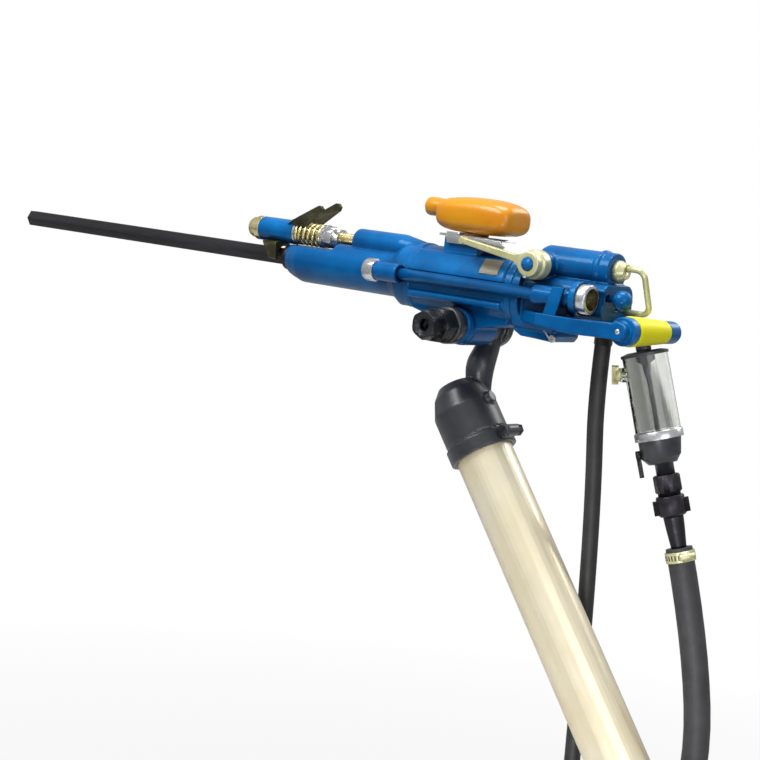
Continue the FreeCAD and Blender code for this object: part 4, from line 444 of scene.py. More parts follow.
# A machined piece: the node's own form with its round faces shaded smooth
def machinedPiece(nodeName, slotName=None, finish=None):
    mesh = meshFrom(mergedCopy(nodeName), nodeName + "Machined")
    slotName = slotName or slotOf[nodeName]
    piece = addPiece(nodeName + "Machined", mesh, bodyOf(nodeName), slotName, finish, angles["machined"])
    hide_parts(nodeName)
    return piece


# A node shown as two pieces: the faces whose middle passes the test, and the rest, cut first at heights
def splitPiece(nodeName, test, halves, cuts=()):
    made = []
    for (suffix, slotName, finish), wanted in zip(halves, (True, False)):
        work = mergedCopy(nodeName)
        for height in cuts:
            whole = work.verts[:] + work.edges[:] + work.faces[:]
            bmesh.ops.bisect_plane(work, geom=whole, plane_co=(0, 0, height), plane_no=(0, 0, 1))
        others = [f for f in work.faces if test(f.calc_center_median()) != wanted]
        bmesh.ops.delete(work, geom=others, context="FACES")
        mesh = meshFrom(work, nodeName + suffix)
        piece = addPiece(nodeName + suffix, mesh, bodyOf(nodeName), slotName, finish, angles["machined"])
        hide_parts(nodeName)
        made.append(piece)
    return made


# Geometry Nodes: a tree is built once, run with its values, and its mesh kept
def newTree(name, inputs):
    tree = bpy.data.node_groups.new(name, "GeometryNodeTree")
    for inputName, kind, value in inputs:
        item = tree.interface.new_socket(inputName, in_out="INPUT", socket_type=kind)
        if value is not None:
            item.default_value = value
    tree.interface.new_socket("Geometry", in_out="OUTPUT", socket_type="NodeSocketGeometry")
    return tree, addNode(tree, "NodeGroupInput", (-900, 0))


def endTree(tree, entry, shape):
    whole = addNode(tree, "GeometryNodeRealizeInstances", (500, 0))
    dressed = addNode(tree, "GeometryNodeSetMaterial", (700, 0))
    leave = addNode(tree, "NodeGroupOutput", (900, 0))
    tree.links.new(shape, whole.inputs[0])
    tree.links.new(whole.outputs[0], dressed.inputs["Geometry"])
    tree.links.new(entry.outputs["Material"], dressed.inputs["Material"])
    tree.links.new(dressed.outputs[0], leave.inputs[0])
    return tree


# Steps in one turn of the wire, in an end ring, and round the wire itself
wireSteps = {"spiral": 40, "ring": 48, "section": 12}


# Wire wound along Z, with a flat ring at each end where End Rings is on
def woundWireTree():
    tree, entry = newTree("woundWire", [
        ("Turns", "NodeSocketFloat", 5.0), ("Height", "NodeSocketFloat", 0.04),
        ("Radius", "NodeSocketFloat", 0.013), ("Wire Radius", "NodeSocketFloat", 0.0024),
        ("End Rings", "NodeSocketBool", False),
        ("Material", "NodeSocketMaterial", None),
    ])
    spiral = addNode(tree, "GeometryNodeCurveSpiral", (-600, 200))
    spiral.inputs["Resolution"].default_value = wireSteps["spiral"]
    sources = {"Rotations": "Turns", "Height": "Height", "Start Radius": "Radius", "End Radius": "Radius"}
    for socket, source in sources.items():
        tree.links.new(entry.outputs[source], spiral.inputs[socket])
    ring = addNode(tree, "GeometryNodeCurvePrimitiveCircle", (-600, -100))
    ring.inputs["Resolution"].default_value = wireSteps["ring"]
    tree.links.new(entry.outputs["Radius"], ring.inputs["Radius"])
    lift = addNode(tree, "ShaderNodeCombineXYZ", (-600, -300))
    tree.links.new(entry.outputs["Height"], lift.inputs["Z"])
    far = addNode(tree, "GeometryNodeTransform", (-400, -200))
    tree.links.new(ring.outputs[0], far.inputs["Geometry"])
    tree.links.new(lift.outputs[0], far.inputs["Translation"])
    pair = addNode(tree, "GeometryNodeJoinGeometry", (-250, -100))
    tree.links.new(far.outputs[0], pair.inputs[0])
    tree.links.new(ring.outputs[0], pair.inputs[0])
    choice = addNode(tree, "GeometryNodeSwitch", (-100, -100), input_type="GEOMETRY")
    tree.links.new(entry.outputs["End Rings"], choice.inputs["Switch"])
    tree.links.new(pair.outputs[0], choice.inputs["True"])
    lines = addNode(tree, "GeometryNodeJoinGeometry", (0, 100))
    tree.links.new(choice.outputs[0], lines.inputs[0])
    tree.links.new(spiral.outputs[0], lines.inputs[0])
    section = addNode(tree, "GeometryNodeCurvePrimitiveCircle", (0, -300))
    section.inputs["Resolution"].default_value = wireSteps["section"]
    tree.links.new(entry.outputs["Wire Radius"], section.inputs["Radius"])
    wire = addNode(tree, "GeometryNodeCurveToMesh", (250, 0))
    wire.inputs["Fill Caps"].default_value = True
    tree.links.new(lines.outputs[0], wire.inputs["Curve"])
    tree.links.new(section.outputs[0], wire.inputs["Profile Curve"])
    return endTree(tree, entry, wire.outputs[0])


# Small blocks round a circle in the XY plane, each facing out
def blockRingTree():
    tree, entry = newTree("blockRing", [
        ("Count", "NodeSocketInt", 24), ("Radius", "NodeSocketFloat", 0.018),
        ("Size", "NodeSocketVector", None),
        ("Material", "NodeSocketMaterial", None),
    ])
    circle = addNode(tree, "GeometryNodeMeshCircle", (-600, 200))
    tree.links.new(entry.outputs["Count"], circle.inputs["Vertices"])
    tree.links.new(entry.outputs["Radius"], circle.inputs["Radius"])
    block = addNode(tree, "GeometryNodeMeshCube", (-600, -100))
    tree.links.new(entry.outputs["Size"], block.inputs["Size"])
    place = addNode(tree, "GeometryNodeInputPosition", (-600, 0))
    aim = addNode(tree, "FunctionNodeAlignRotationToVector", (-350, 0), axis="X")
    tree.links.new(place.outputs[0], aim.inputs["Vector"])
    onPoints = addNode(tree, "GeometryNodeInstanceOnPoints", (-100, 100))
    tree.links.new(circle.outputs[0], onPoints.inputs["Points"])
    tree.links.new(block.outputs[0], onPoints.inputs["Instance"])
    tree.links.new(aim.outputs[0], onPoints.inputs["Rotation"])
    return endTree(tree, entry, onPoints.outputs[0])


def runTree(tree, name, values):
    bench = bpy.data.objects.new("bench", bpy.data.meshes.new("bench"))
    scene.collection.objects.link(bench)
    modifier = bench.modifiers.new("made", "NODES")
    modifier.node_group = tree
    items = tree.interface.items_tree
    sockets = {item.name: item.identifier for item in items if item.in_out == "INPUT"}
    for key, value in values.items():
        modifier[sockets[key]] = value
    bpy.context.view_layer.update()
    graph = bpy.context.evaluated_depsgraph_get()
    mesh = bpy.data.meshes.new_from_object(bench.evaluated_get(graph))
    bench.modifiers.remove(modifier)
    bpy.data.objects.remove(bench)
    mesh.name = name
    return mesh


# Turns and moves a mesh made along Z so that it starts at a place and runs along a way
def laid(mesh, place, way):
    turn = Vector(way).to_track_quat("Z", "X").to_matrix().to_4x4()
    mesh.transform(Matrix.Translation(Vector(place)) @ turn)
    return mesh


# A turned solid along Z from pairs of height and radius
def turnedMesh(name, profile):
    steps = meshSizes["turnSteps"]
    work = bmesh.new()
    rings = []
    for height, radius in profile:
        ring = []
        for k in range(steps):
            angle = 2 * math.pi * k / steps
            ring.append(work.verts.new((radius * math.cos(angle), radius * math.sin(angle), height)))
        rings.append(ring)
    for low, high in zip(rings, rings[1:]):
        for k in range(steps):
            work.faces.new((low[k], low[(k + 1) % steps], high[(k + 1) % steps], high[k]))
    work.faces.new(list(reversed(rings[0])))
    work.faces.new(rings[-1])
    return meshFrom(work, name)


# A flat plate with softened edges, from an outline in X and Z and its two places along Y
def plateMesh(name, sizes):
    work = bmesh.new()
    near, far = [[work.verts.new((x, y, z)) for x, z in sizes["outline"]] for y in sizes["y"]]
    count = len(near)
    work.faces.new(near)
    work.faces.new(list(reversed(far)))
    for k in range(count):
        work.faces.new((near[k], far[k], far[(k + 1) % count], near[(k + 1) % count]))
    bmesh.ops.recalc_face_normals(work, faces=work.faces)
    steps = meshSizes["bevelSteps"]
    bmesh.ops.bevel(work, geom=work.edges, offset=sizes["bevel"], segments=steps, profile=0.5, affect="EDGES")
    return meshFrom(work, name)


# Hoses: each is one NURBS line from its tail down to the floor, round its coil inward, up and out again
def coilSpot(sizes, turns):
    middle, half = sizes["turns"] / 2, sizes["climbShare"] / 2
    climb = eased(turns, middle - half, middle + half)
    drawn = sizes["diameter"] * sizes["stepShare"] * min(turns, sizes["turns"] - turns)
    angle = -math.pi / 2 + sizes["spin"] * 2 * math.pi * turns
    reach = sizes["coilRadius"] - drawn
    lift = sizes["diameter"] / 2 + climb * (sizes["diameter"] + sizes["air"])
    return Vector(sizes["coilMiddle"]) + Vector((reach * math.cos(angle), reach * math.sin(angle), lift))


def coilPoints(sizes):
    count = int(sizes["turns"] * sizes["pointsPerTurn"])
    return [coilSpot(sizes, sizes["turns"] * k / count) for k in range(count + 1)]


# How a hose's line is drawn: its order, its steps between points, and its steps round
lineSteps = {"order": 3, "along": 6, "round": 7}


def hoseLine(name, points, sizes, slotName):
    curve = bpy.data.curves.new(name, "CURVE")
    curve.dimensions = "3D"
    spline = curve.splines.new("NURBS")
    spline.points.add(len(points) - 1)
    for point, place in zip(spline.points, points):
        point.co = (*place, 1.0)
    spline.order_u = lineSteps["order"]
    spline.use_endpoint_u = True
    spline.resolution_u = lineSteps["along"]
    curve.bevel_depth = sizes["diameter"] / 2
    curve.bevel_resolution = lineSteps["round"]
    curve.use_fill_caps = True
    curve.materials.append(finishes[slotName])
    hose = bpy.data.objects.new(name, curve)
    scene.collection.objects.link(hose)
    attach(hose, "machine")
    return hose


# The oiler hangs from its elbow along a slant way, and the air hose goes on along the same way
oilerSizes = {"elbow": (1.088, 0.033, -0.020), "way": (0.2975, 0.0855, -0.96), "elbowReach": 0.032}
oilerWay = Vector(oilerSizes["way"]).normalized()
oilerTop = Vector(oilerSizes["elbow"]) + oilerWay * oilerSizes["elbowReach"]


def oilerAlong(spot):
    return (spot - oilerTop).dot(oilerWay)


def oilerSpot(along):
    return oilerTop + oilerWay * along


floorHeight = -1.192138
airHoseSizes = {
    "start": oilerSpot(0.244),
    "straight": [oilerSpot(0.359)],
    "diameter": 0.033,
    "length": 3.518,
    "coilMiddle": (1.440, 0.266, floorHeight),
    "coilRadius": 0.188,
    "spin": 1,
    "turns": 2.25,
    "climbShare": 0.5,
    "stepShare": 1.08,
    "air": 0.0008,
    "aimStep": 1e-4,
    "pointsPerTurn": 24,
    "lastRun": 0.107,
    "route": [
        (1.220, 0.090, -0.560), (1.178, 0.096, -0.735), (1.152, 0.094, -0.895), (1.152, 0.088, -1.022),
        (1.206, 0.082, -1.119),
    ],
}
waterHoseSizes = {
    "start": Vector((1.042, 0.030, -0.051)),
    "straight": [],
    "diameter": 0.021,
    "length": 2.905,
    "coilMiddle": (0.800, 0.208, floorHeight),
    "coilRadius": 0.126,
    "spin": -1,
    "turns": 2.25,
    "climbShare": 0.5,
    "stepShare": 1.08,
    "air": 0.0008,
    "aimStep": 1e-4,
    "pointsPerTurn": 24,
    "lastRun": 0.075,
    "route": [
        (1.042, 0.030, -0.122), (1.043, 0.047, -0.218), (1.043, 0.062, -0.330), (1.047, 0.070, -0.490),
        (1.052, 0.075, -0.690), (1.048, 0.078, -0.890), (1.026, 0.080, -1.040), (0.960, 0.082, -1.142),
    ],
}


# Where a hose meets its coil, the way it goes there, and where it ends after the last turn
def coilLeads(sizes):
    step = sizes["aimStep"]
    first = (coilSpot(sizes, step) - coilSpot(sizes, 0.0)).normalized()
    last = (coilSpot(sizes, sizes["turns"]) - coilSpot(sizes, sizes["turns"] - step)).normalized()
    entry = coilSpot(sizes, 0.0) - first * sizes["diameter"]
    leaving = coilSpot(sizes, sizes["turns"]) + last * sizes["diameter"]
    return entry, first, leaving


def makeHose(name, sizes, slotName, coilNode, hoseNode):
    entry, way, leaving = coilLeads(sizes)
    start = sizes["start"]
    points = [start] + sizes["straight"] + [Vector(p) for p in sizes["route"]]
    points += [entry - way * sizes["lastRun"], entry] + coilPoints(sizes) + [leaving]
    hose = hoseLine(name, points, sizes, slotName)
    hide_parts(hoseNode, coilNode)
    return hose


# The belly under the back head ends short of the water tail, as it does in the photograph
bellySizes = {"top": -0.033, "full": -0.039, "start": 0.985, "squeeze": 0.5}


def bellyShape(spot):
    share = eased(bellySizes["top"] - spot.z, 0.0, bellySizes["top"] - bellySizes["full"])
    past = max(spot.x - bellySizes["start"], 0.0)
    spot.x -= past * (1 - bellySizes["squeeze"]) * share
    return spot


# The throttle lever's arm is shorter than the solid's; its hub stays
leverSizes = {"hub": 0.955, "armShare": 0.8}


def leverArmShape(spot):
    if spot.x < leverSizes["hub"]:
        spot.x = leverSizes["hub"] - (leverSizes["hub"] - spot.x) * leverSizes["armShare"]
    return spot


# Castings and forgings: voxel size, smoothing passes, share of faces kept, and the shape that is changed
castings = {
    "front_head": (0.0013, 4, 0.6, None),
    "cylinder": (0.0014, 4, 0.6, None),
    "back_head": (0.0012, 4, 0.6, bellyShape),
    "handle": (0.0012, 4, 0.7, None),
    "leg_head": (0.0014, 5, 0.6, None),
    "throttle_lever": (0.0008, 4, 0.7, leverArmShape),
    "inlet_elbow": (0.0010, 4, 0.7, None),
    "foot_fork": (0.0014, 5, 0.6, None),
}
for name, values in castings.items():
    castPiece(name, *values)
print("castings made:", len(castings))

# Muffler: a moulded shell from sections along X (place, half width, bottom, top), and a turned outlet
mufflerSizes = {
    "points": 40, "roundness": 2.9,
    "outletHeight": 0.0938,
    "outlet": [
        (0.7715, 0.0070), (0.7720, 0.0098), (0.7736, 0.0115), (0.7762, 0.0122), (0.7860, 0.0122),
        (0.7930, 0.0116), (0.8060, 0.0116),
    ],
    "sections": [
        (0.8020, 0.0170, 0.0790, 0.0985), (0.8026, 0.0235, 0.0745, 0.1020), (0.8042, 0.0280, 0.0712, 0.1044),
        (0.8080, 0.0308, 0.0686, 0.1062), (0.8140, 0.0328, 0.0668, 0.1078), (0.8230, 0.0342, 0.0657, 0.1094),
        (0.8360, 0.0348, 0.0651, 0.1108), (0.8520, 0.0350, 0.0650, 0.1118), (0.8680, 0.0350, 0.0650, 0.1119),
        (0.8820, 0.0348, 0.0652, 0.1113), (0.8940, 0.0342, 0.0658, 0.1100), (0.9030, 0.0330, 0.0667, 0.1082),
        (0.9100, 0.0308, 0.0682, 0.1058), (0.9145, 0.0278, 0.0705, 0.1028), (0.9170, 0.0235, 0.0740, 0.0990),
        (0.9180, 0.0170, 0.0790, 0.0940),
    ],
}


def roundedLoop(x, half, low, high, sizes):
    spots = []
    power = 2 / sizes["roundness"]
    for k in range(sizes["points"]):
        angle = 2 * math.pi * k / sizes["points"]
        side, rise = [math.copysign(abs(v) ** power, v) for v in (math.cos(angle), math.sin(angle))]
        spots.append((x, half * side, (low + high) / 2 + (high - low) / 2 * rise))
    return spots


def loftedMesh(name, loops):
    work = bmesh.new()
    rings = [[work.verts.new(spot) for spot in loop] for loop in loops]
    for low, high in zip(rings, rings[1:]):
        for k in range(len(low)):
            work.faces.new((low[k], low[(k + 1) % len(low)], high[(k + 1) % len(low)], high[k]))
    work.faces.new(rings[0])
    work.faces.new(rings[-1])
    bmesh.ops.recalc_face_normals(work, faces=work.faces)
    return meshFrom(work, name)


def makeMuffler(sizes):
    shell = loftedMesh("mufflerShell", [roundedLoop(*section, sizes) for section in sizes["sections"]])
    shell = baked(shell, [("SUBSURF", {"levels": 1, "render_levels": 1})])
    front = sizes["outlet"][0][0]
    outlet = turnedMesh("mufflerOutlet", [(x - front, radius) for x, radius in sizes["outlet"]])
    laid(outlet, (front, 0, sizes["outletHeight"]), (1, 0, 0))
    for name, mesh in (("mufflerShell", shell), ("mufflerOutlet", outlet)):
        piece = addPiece(name, mesh, bodyOf("muffler"), slotOf["muffler"], None, angles["moulded"])
        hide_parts("muffler")


makeMuffler(mufflerSizes)
print("muffler made")

# Machined pieces, each in its own slot's finish
machined = [
    "drill_steel", "rotation_sleeve", "chuck_bush", "guide_bush", "retainer_nuts", "piston", "rifle_nut",
    "rifle_bar", "ratchet_ring", "pawls", "valve_chest", "flap_valve", "retract_button", "tie_rods",
    "tie_rod_nuts", "muffler_bracket", "bracket_bolts", "throttle_spindle", "grip_sleeve", "rear_cap",
    "supply_pipe", "water_needle", "leg_outer_tube", "leg_gland", "leg_piston", "leg_rod", "leg_air_pipe",
    "lubricator_head", "clear_cup", "filler_plug", "coupling_nut", "wing_nut", "hose_tail", "hose_clamp",
    "air_hose_coupling", "water_hose_end",
]
pieces = {name: machinedPiece(name) for name in machined}
# Steel pieces that the photograph shows darker than their slot, and the slot they take where it is another
darkened = {"water_tail": "dark_steel", "clamp_bolt": "dark_steel", "cross_shaft": None, "shaft_nuts": None}
for name, slotName in darkened.items():
    pieces[name] = machinedPiece(name, slotName, finishes["dark_nut"])

# The button's stem and the oiler's feed tube are thinner than the solids', clear of what is round them
stemSizes = {"y": -0.022, "z": 0.009, "end": 1.0725, "radiusShare": 0.9, "lengthShare": 0.7}
feedSizes = {"start": 0.0125, "radiusShare": 0.55}


def stemShape(spot):
    if spot.x < stemSizes["end"]:
        spot.x = stemSizes["end"] - (stemSizes["end"] - spot.x) * stemSizes["lengthShare"]
        spot.y = stemSizes["y"] + (spot.y - stemSizes["y"]) * stemSizes["radiusShare"]
        spot.z = stemSizes["z"] + (spot.z - stemSizes["z"]) * stemSizes["radiusShare"]
    return spot


def feedShape(spot):
    along = oilerAlong(spot)
    if along < feedSizes["start"]:
        return spot
    return oilerSpot(along) + (spot - oilerSpot(along)) * feedSizes["radiusShare"]


moveVertices(pieces["retract_button"].data, stemShape)
moveVertices(pieces["lubricator_head"].data, feedShape)
print("machined pieces made:", len(pieces))


# Retainer: a painted tube with a bare forged claw, and its bolt with a zinc cap and a threaded end
retainerSizes = {
    "axis": 0.035, "tubeRadius": 0.01645, "capEnd": 0.4802, "boltRadius": 0.008,
    "springStart": 0.5556, "springLength": 0.047, "springRadius": 0.0135, "wire": 0.0024, "turns": 5.0,
    "threadStart": 0.6322, "threadEnd": 0.6608, "threadPitch": 0.0015, "threadDepth": 0.00042,
}
# Thin sleeves that hide where the claw goes into the tube: a plated one behind the cap, then a painted one
capSleeveSizes = {
    "place": (0.4800, 0, retainerSizes["axis"]), "way": (1, 0, 0),
    "profile": [(0, 0.0150), (0.0006, 0.0168), (0.0094, 0.0168), (0.0098, 0.0161)],
}
tubeSleeveSizes = {
    "place": (0.4895, 0, retainerSizes["axis"]), "way": (1, 0, 0),
    "profile": [(0, 0.0161), (0.0003, 0.0166), (0.0622, 0.0166), (0.0625, 0.0161)],
}


# The claw: drawn in round the tube, with a narrower jaw, closer prongs, and the near prong lower
clawSizes = {
    "bottom": 0.0185, "slack": 1e-5, "jaw": 0.0165, "jawDrawn": 0.55, "neck": 0.25, "neckTop": 0.0215,
    "top": 0.0532, "hidden": 0.0150, "closer": 0.86, "drop": 0.0055, "dropTop": 0.0815,
    "root": 0.5520, "rootDrawn": 0.85, "tip": 0.604, "nearDrawn": 0.18,
}


def clawShape(spot):
    rise = spot.z - retainerSizes["axis"]
    away = math.hypot(spot.y, rise)
    if spot.z <= clawSizes["bottom"] + clawSizes["slack"]:
        past = max(abs(spot.y) - clawSizes["jaw"], 0.0)
        spot.y -= math.copysign(past * clawSizes["jawDrawn"], spot.y)
    elif spot.z < retainerSizes["axis"] and away > clawSizes["hidden"]:
        spot.y *= clawSizes["neck"]
        spot.z = clawSizes["neckTop"]
    elif spot.z < clawSizes["top"] and away > clawSizes["hidden"]:
        spot.y *= clawSizes["hidden"] / away
        spot.z = retainerSizes["axis"] + rise * clawSizes["hidden"] / away
    elif spot.z >= clawSizes["top"]:
        share = eased(spot.z, clawSizes["top"], clawSizes["dropTop"])
        spot.z -= clawSizes["drop"] * share if spot.y < 0 else 0.0
        spot.y *= clawSizes["closer"]
        spot.x += max(clawSizes["root"] - spot.x, 0.0) * clawSizes["rootDrawn"]
        if spot.y < 0:
            spot.x += max(clawSizes["tip"] - spot.x, 0.0) * clawSizes["nearDrawn"]
    return spot


def onTube(centre):
    return math.hypot(centre.y, centre.z - retainerSizes["axis"]) < retainerSizes["tubeRadius"]


claw = splitPiece("steel_retainer", onTube, [("Tube", "blue_paint", None), ("Claw", "olive_steel", None)],
                  (clawSizes["bottom"], clawSizes["top"]))[1]
moveVertices(claw.data, clawShape)

# The shaft's barrel is black as far as its groove, and painted with the casting behind it
shaftBarrelSizes = {"blackEnd": -0.0435}
splitPiece("shaft_barrel", lambda centre: centre.y < shaftBarrelSizes["blackEnd"],
           [("Near", slotOf["shaft_barrel"], None), ("Far", "blue_paint", None)])

# The retainer's bolt: a plated cap in front of a brass thread
splitPiece("retainer_bolt", lambda centre: centre.x < retainerSizes["capEnd"],
           [("Cap", "yellow_zinc", None), ("Shank", "yellow_zinc", finishes["brass_thread"])])

woundWire = woundWireTree()
blockRing = blockRingTree()


# Wire wound round the retainer's bolt from a place along X
def addWire(name, start, values, finish=None):
    values["Material"] = finish or finishes["yellow_zinc"]
    mesh = laid(runTree(woundWire, name, values), (start, 0, retainerSizes["axis"]), (1, 0, 0))
    return addPiece(name, mesh, "machine", "yellow_zinc", finish, angles["wire"])


def makeRetainerWire(sizes):
    wire = sizes["wire"]
    spring = addWire("retainerSpring", sizes["springStart"] + wire, {
        "Turns": sizes["turns"], "Height": sizes["springLength"] - 2 * wire, "Radius": sizes["springRadius"],
        "Wire Radius": wire, "End Rings": True,
    })
    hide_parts("retainer_spring")
    long = sizes["threadEnd"] - sizes["threadStart"]
    addWire("boltThread", sizes["threadStart"], {
        "Turns": long / sizes["threadPitch"], "Height": long, "Radius": sizes["boltRadius"],
        "Wire Radius": sizes["threadDepth"],
    }, finishes["brass_thread"])


makeRetainerWire(retainerSizes)

# Side socket: plated outside, rusty inside
socketSizes = {"y": -0.048, "z": 0.006, "bore": 0.0139, "mouth": 1.0655}


def inBore(centre):
    away = math.hypot(centre.y - socketSizes["y"], centre.z - socketSizes["z"])
    return away < socketSizes["bore"] and centre.x < socketSizes["mouth"]


splitPiece("side_socket", inBore,
           [("Bore", "bright_steel", finishes["rusty_bore"]), ("Ring", "bright_steel", None)])

# Hose clamp: slots round the band
clampSizes = {"along": 0.2545, "radius": 0.01842, "slots": 26, "slot": (0.0004, 0.0016, 0.0062)}


def makeClampSlots(sizes):
    values = {"Count": sizes["slots"], "Radius": sizes["radius"], "Size": sizes["slot"]}
    values["Material"] = finishes["dark_nut"]
    mesh = laid(runTree(blockRing, "clampSlots", values), oilerSpot(sizes["along"]), oilerWay)
    return addPiece("clampSlots", mesh, "machine", "cream_zinc", finishes["dark_nut"])


clampSlots = makeClampSlots(clampSizes)

# Oiler's foot: a plated ring, a bowl drawn in away from the oil lever, and a lever shorter than the solid's
footSizes = {
    "ringEnd": 0.1095, "slack": 1e-4, "drawnIn": 0.86, "drawnFrom": 0.0116, "drawnTo": 0.022,
    "sideFrom": 0.5, "sideTo": 0.9, "lever": (1.1167, 0.0290, -0.1935), "leverTop": 0.1269, "leverShare": 0.7,
}
leverMiddle = Vector(footSizes["lever"])
leverAway = (leverMiddle - oilerSpot(oilerAlong(leverMiddle))).normalized()


def inRing(centre):
    return oilerAlong(centre) < footSizes["ringEnd"]


def footShape(spot):
    along = oilerAlong(spot)
    if along > footSizes["ringEnd"] + footSizes["slack"]:
        middle = oilerSpot(along)
        out = spot - middle
        leverSide = eased(out.normalized().dot(leverAway), footSizes["sideFrom"], footSizes["sideTo"])
        drawn = eased(out.length, footSizes["drawnFrom"], footSizes["drawnTo"])
        narrow = 1 - (1 - footSizes["drawnIn"]) * drawn
        spot = middle + out * (narrow + (1 - narrow) * leverSide)
    return spot


def oilLeverShape(spot):
    past = max(oilerAlong(spot) - footSizes["leverTop"], 0.0)
    return spot - oilerWay * past * (1 - footSizes["leverShare"])


bowl = splitPiece("lubricator_base", inRing,
                  [("Ring", "cream_zinc", finishes["bright_steel"]),
                   ("Bowl", slotOf["lubricator_base"], None)])[1]
moveVertices(bowl.data, footShape)
pieces["oil_lever"] = machinedPiece("oil_lever")
moveVertices(pieces["oil_lever"].data, oilLeverShape)
print("pieces of two finishes made")

# Small fittings that the photograph shows on the machine's near side
fittingSizes = {
    "label": {"x": (0.8955, 0.9235), "z": (0.0185, 0.0368), "radius": 0.0493, "sunk": 0.0006, "proud": 0.0006,
              "rows": 12, "columns": 6},
    "strut": {"outline": [(1.0105, -0.0185), (1.0280, -0.0185), (1.0365, 0.0165), (1.0195, 0.0165)],
              "y": (-0.0664, -0.0626), "bevel": 0.0006},
    "leverScrew": {"place": (0.9725, -0.0565, 0.0248), "way": (0, 0, -1),
                   "profile": [(0, 0.0036), (0.0022, 0.0036), (0.0036, 0.0028), (0.0042, 0.0012)]},
    "armPin": {"place": (1.1178, -0.0670, -0.0252), "way": (0, -1, 0),
               "profile": [(0, 0.0030), (0.0005, 0.0030), (0.0010, 0.0022), (0.0012, 0.0008)]},
    "bellyPlug": {"place": (1.0050, -0.0275, -0.0490), "way": (0, -1, 0),
                  "profile": [(0, 0.0050), (0.0026, 0.0050), (0.0036, 0.0042), (0.0036, 0.0022),
                              (0.0026, 0.0020)]},
    "skirt": {"outline": [(0.8300, 0.0505), (0.9160, 0.0505), (0.9200, 0.0540), (0.9120, 0.0604),
                          (0.8260, 0.0604)],
              "y": (-0.0316, -0.0298), "bevel": 0.0004},
    "bellyPin": {"start": (0.9925, -0.0290, -0.0400), "end": (1.0000, -0.0290, -0.0490), "radius": 0.0013,
                 "headShares": [(0, 0.5), (0.4, 1.6), (1.2, 1.6), (1.3, 1)], "endShare": 0.5},
}


# The bare plate follows the round of the cylinder's panel
def makeLabel(sizes):
    work = bmesh.new()
    rows, columns = sizes["rows"], sizes["columns"]
    layers = []
    for radius in (sizes["radius"] - sizes["sunk"], sizes["radius"] + sizes["proud"]):
        grid = []
        for row in range(rows + 1):
            height = sizes["z"][0] + (sizes["z"][1] - sizes["z"][0]) * row / rows
            angle = math.asin(height / sizes["radius"])
            line = []
            for column in range(columns + 1):
                x = sizes["x"][0] + (sizes["x"][1] - sizes["x"][0]) * column / columns
                line.append(work.verts.new((x, -radius * math.cos(angle), radius * math.sin(angle))))
            grid.append(line)
        for low, high in zip(grid, grid[1:]):
            for column in range(columns):
                work.faces.new((low[column], low[column + 1], high[column + 1], high[column]))
        layers.append(grid)
    border = [(0, c) for c in range(columns)] + [(r, columns) for r in range(rows)]
    border += [(rows, c) for c in range(columns, 0, -1)] + [(r, 0) for r in range(rows, 0, -1)]
    for (a, b), (c, d) in zip(border, border[1:] + border[:1]):
        work.faces.new((layers[0][a][b], layers[0][c][d], layers[1][c][d], layers[1][a][b]))
    bmesh.ops.recalc_face_normals(work, faces=work.faces)
    addPiece("labelPlate", meshFrom(work, "labelPlate"), "machine", "bright_steel", finishes["label_plate"])


def makeTurned(name, sizes, body, slotName):
    mesh = laid(turnedMesh(name, sizes["profile"]), sizes["place"], sizes["way"])
    addPiece(name, mesh, body, slotName)


# The pin's head is at its start
def makePin(name, sizes):
    start, end, radius = Vector(sizes["start"]), Vector(sizes["end"]), sizes["radius"]
    long = (end - start).length
    profile = [(radius * height, radius * width) for height, width in sizes["headShares"]]
    profile += [(long - radius, radius), (long, radius * sizes["endShare"])]
    addPiece(name, laid(turnedMesh(name, profile), start, end - start), "machine", "bright_steel")


def makeFittings(sizes):
    makeLabel(sizes["label"])
    makeTurned("capSleeve", capSleeveSizes, "retainer", "yellow_zinc")
    makeTurned("tubeSleeve", tubeSleeveSizes, "retainer", "blue_paint")
    addPiece("handleStrut", plateMesh("handleStrut", sizes["strut"]), "machine", "blue_paint")
    addPiece("bracketSkirt", plateMesh("bracketSkirt", sizes["skirt"]), "machine", "bright_steel")
    makeTurned("leverScrew", sizes["leverScrew"], "throttle", "bright_steel")
    makeTurned("armPin", sizes["armPin"], "machine", "bright_steel")
    makeTurned("bellyPlug", sizes["bellyPlug"], "machine", "bright_steel")
    makePin("bellyPin", sizes["bellyPin"])


makeFittings(fittingSizes)
print("small fittings made")

makeHose("airHose", airHoseSizes, "black_rubber", "air_hose_coil", "air_hose")
makeHose("waterHose", waterHoseSizes, "grey_rubber", "water_hose_coil", "water_hose")
print("hoses made")


# Floor, lamps and background
studioSizes = {
    "floor": 14.0, "middle": (1.1, 0.1), "underGap": 0.0005, "floorRough": 0.7, "floorSpecular": 0.2,
    "floorShade": (0.86, 0.86, 0.86, 1), "floorBounce": (0.12, 0.12, 0.12, 1),
    "glowNear": 0.78, "clearFrom": 1.6, "clearTo": 3.0, "worldLight": 0.2, "glossShare": 0.35,
}
lamps = {
    "keyLamp": {"place": (0.2, -1.7, 1.9), "target": (0.85, 0, -0.1), "size": (1.6, 1.2), "power": 52.0},
    "topLamp": {"place": (0.8, 0.1, 2.3), "target": (0.9, 0, 0), "size": (1.4, 1.0), "power": 38.0},
    "fillLamp": {"place": (3.2, -1.4, 0.6), "target": (0.9, 0, -0.2), "size": (1.6, 1.6), "power": 18.0},
    "lowLamp": {"place": (2.1, -1.9, -0.95), "target": (1.3, -0.1, -0.85), "size": (0.9, 0.9), "power": 3.5,
                "spread": 50},
    "rimLamp": {"place": (1.6, 2.2, 1.6), "target": (0.9, 0, 0), "size": (1.6, 1.0), "power": 24.0},
}


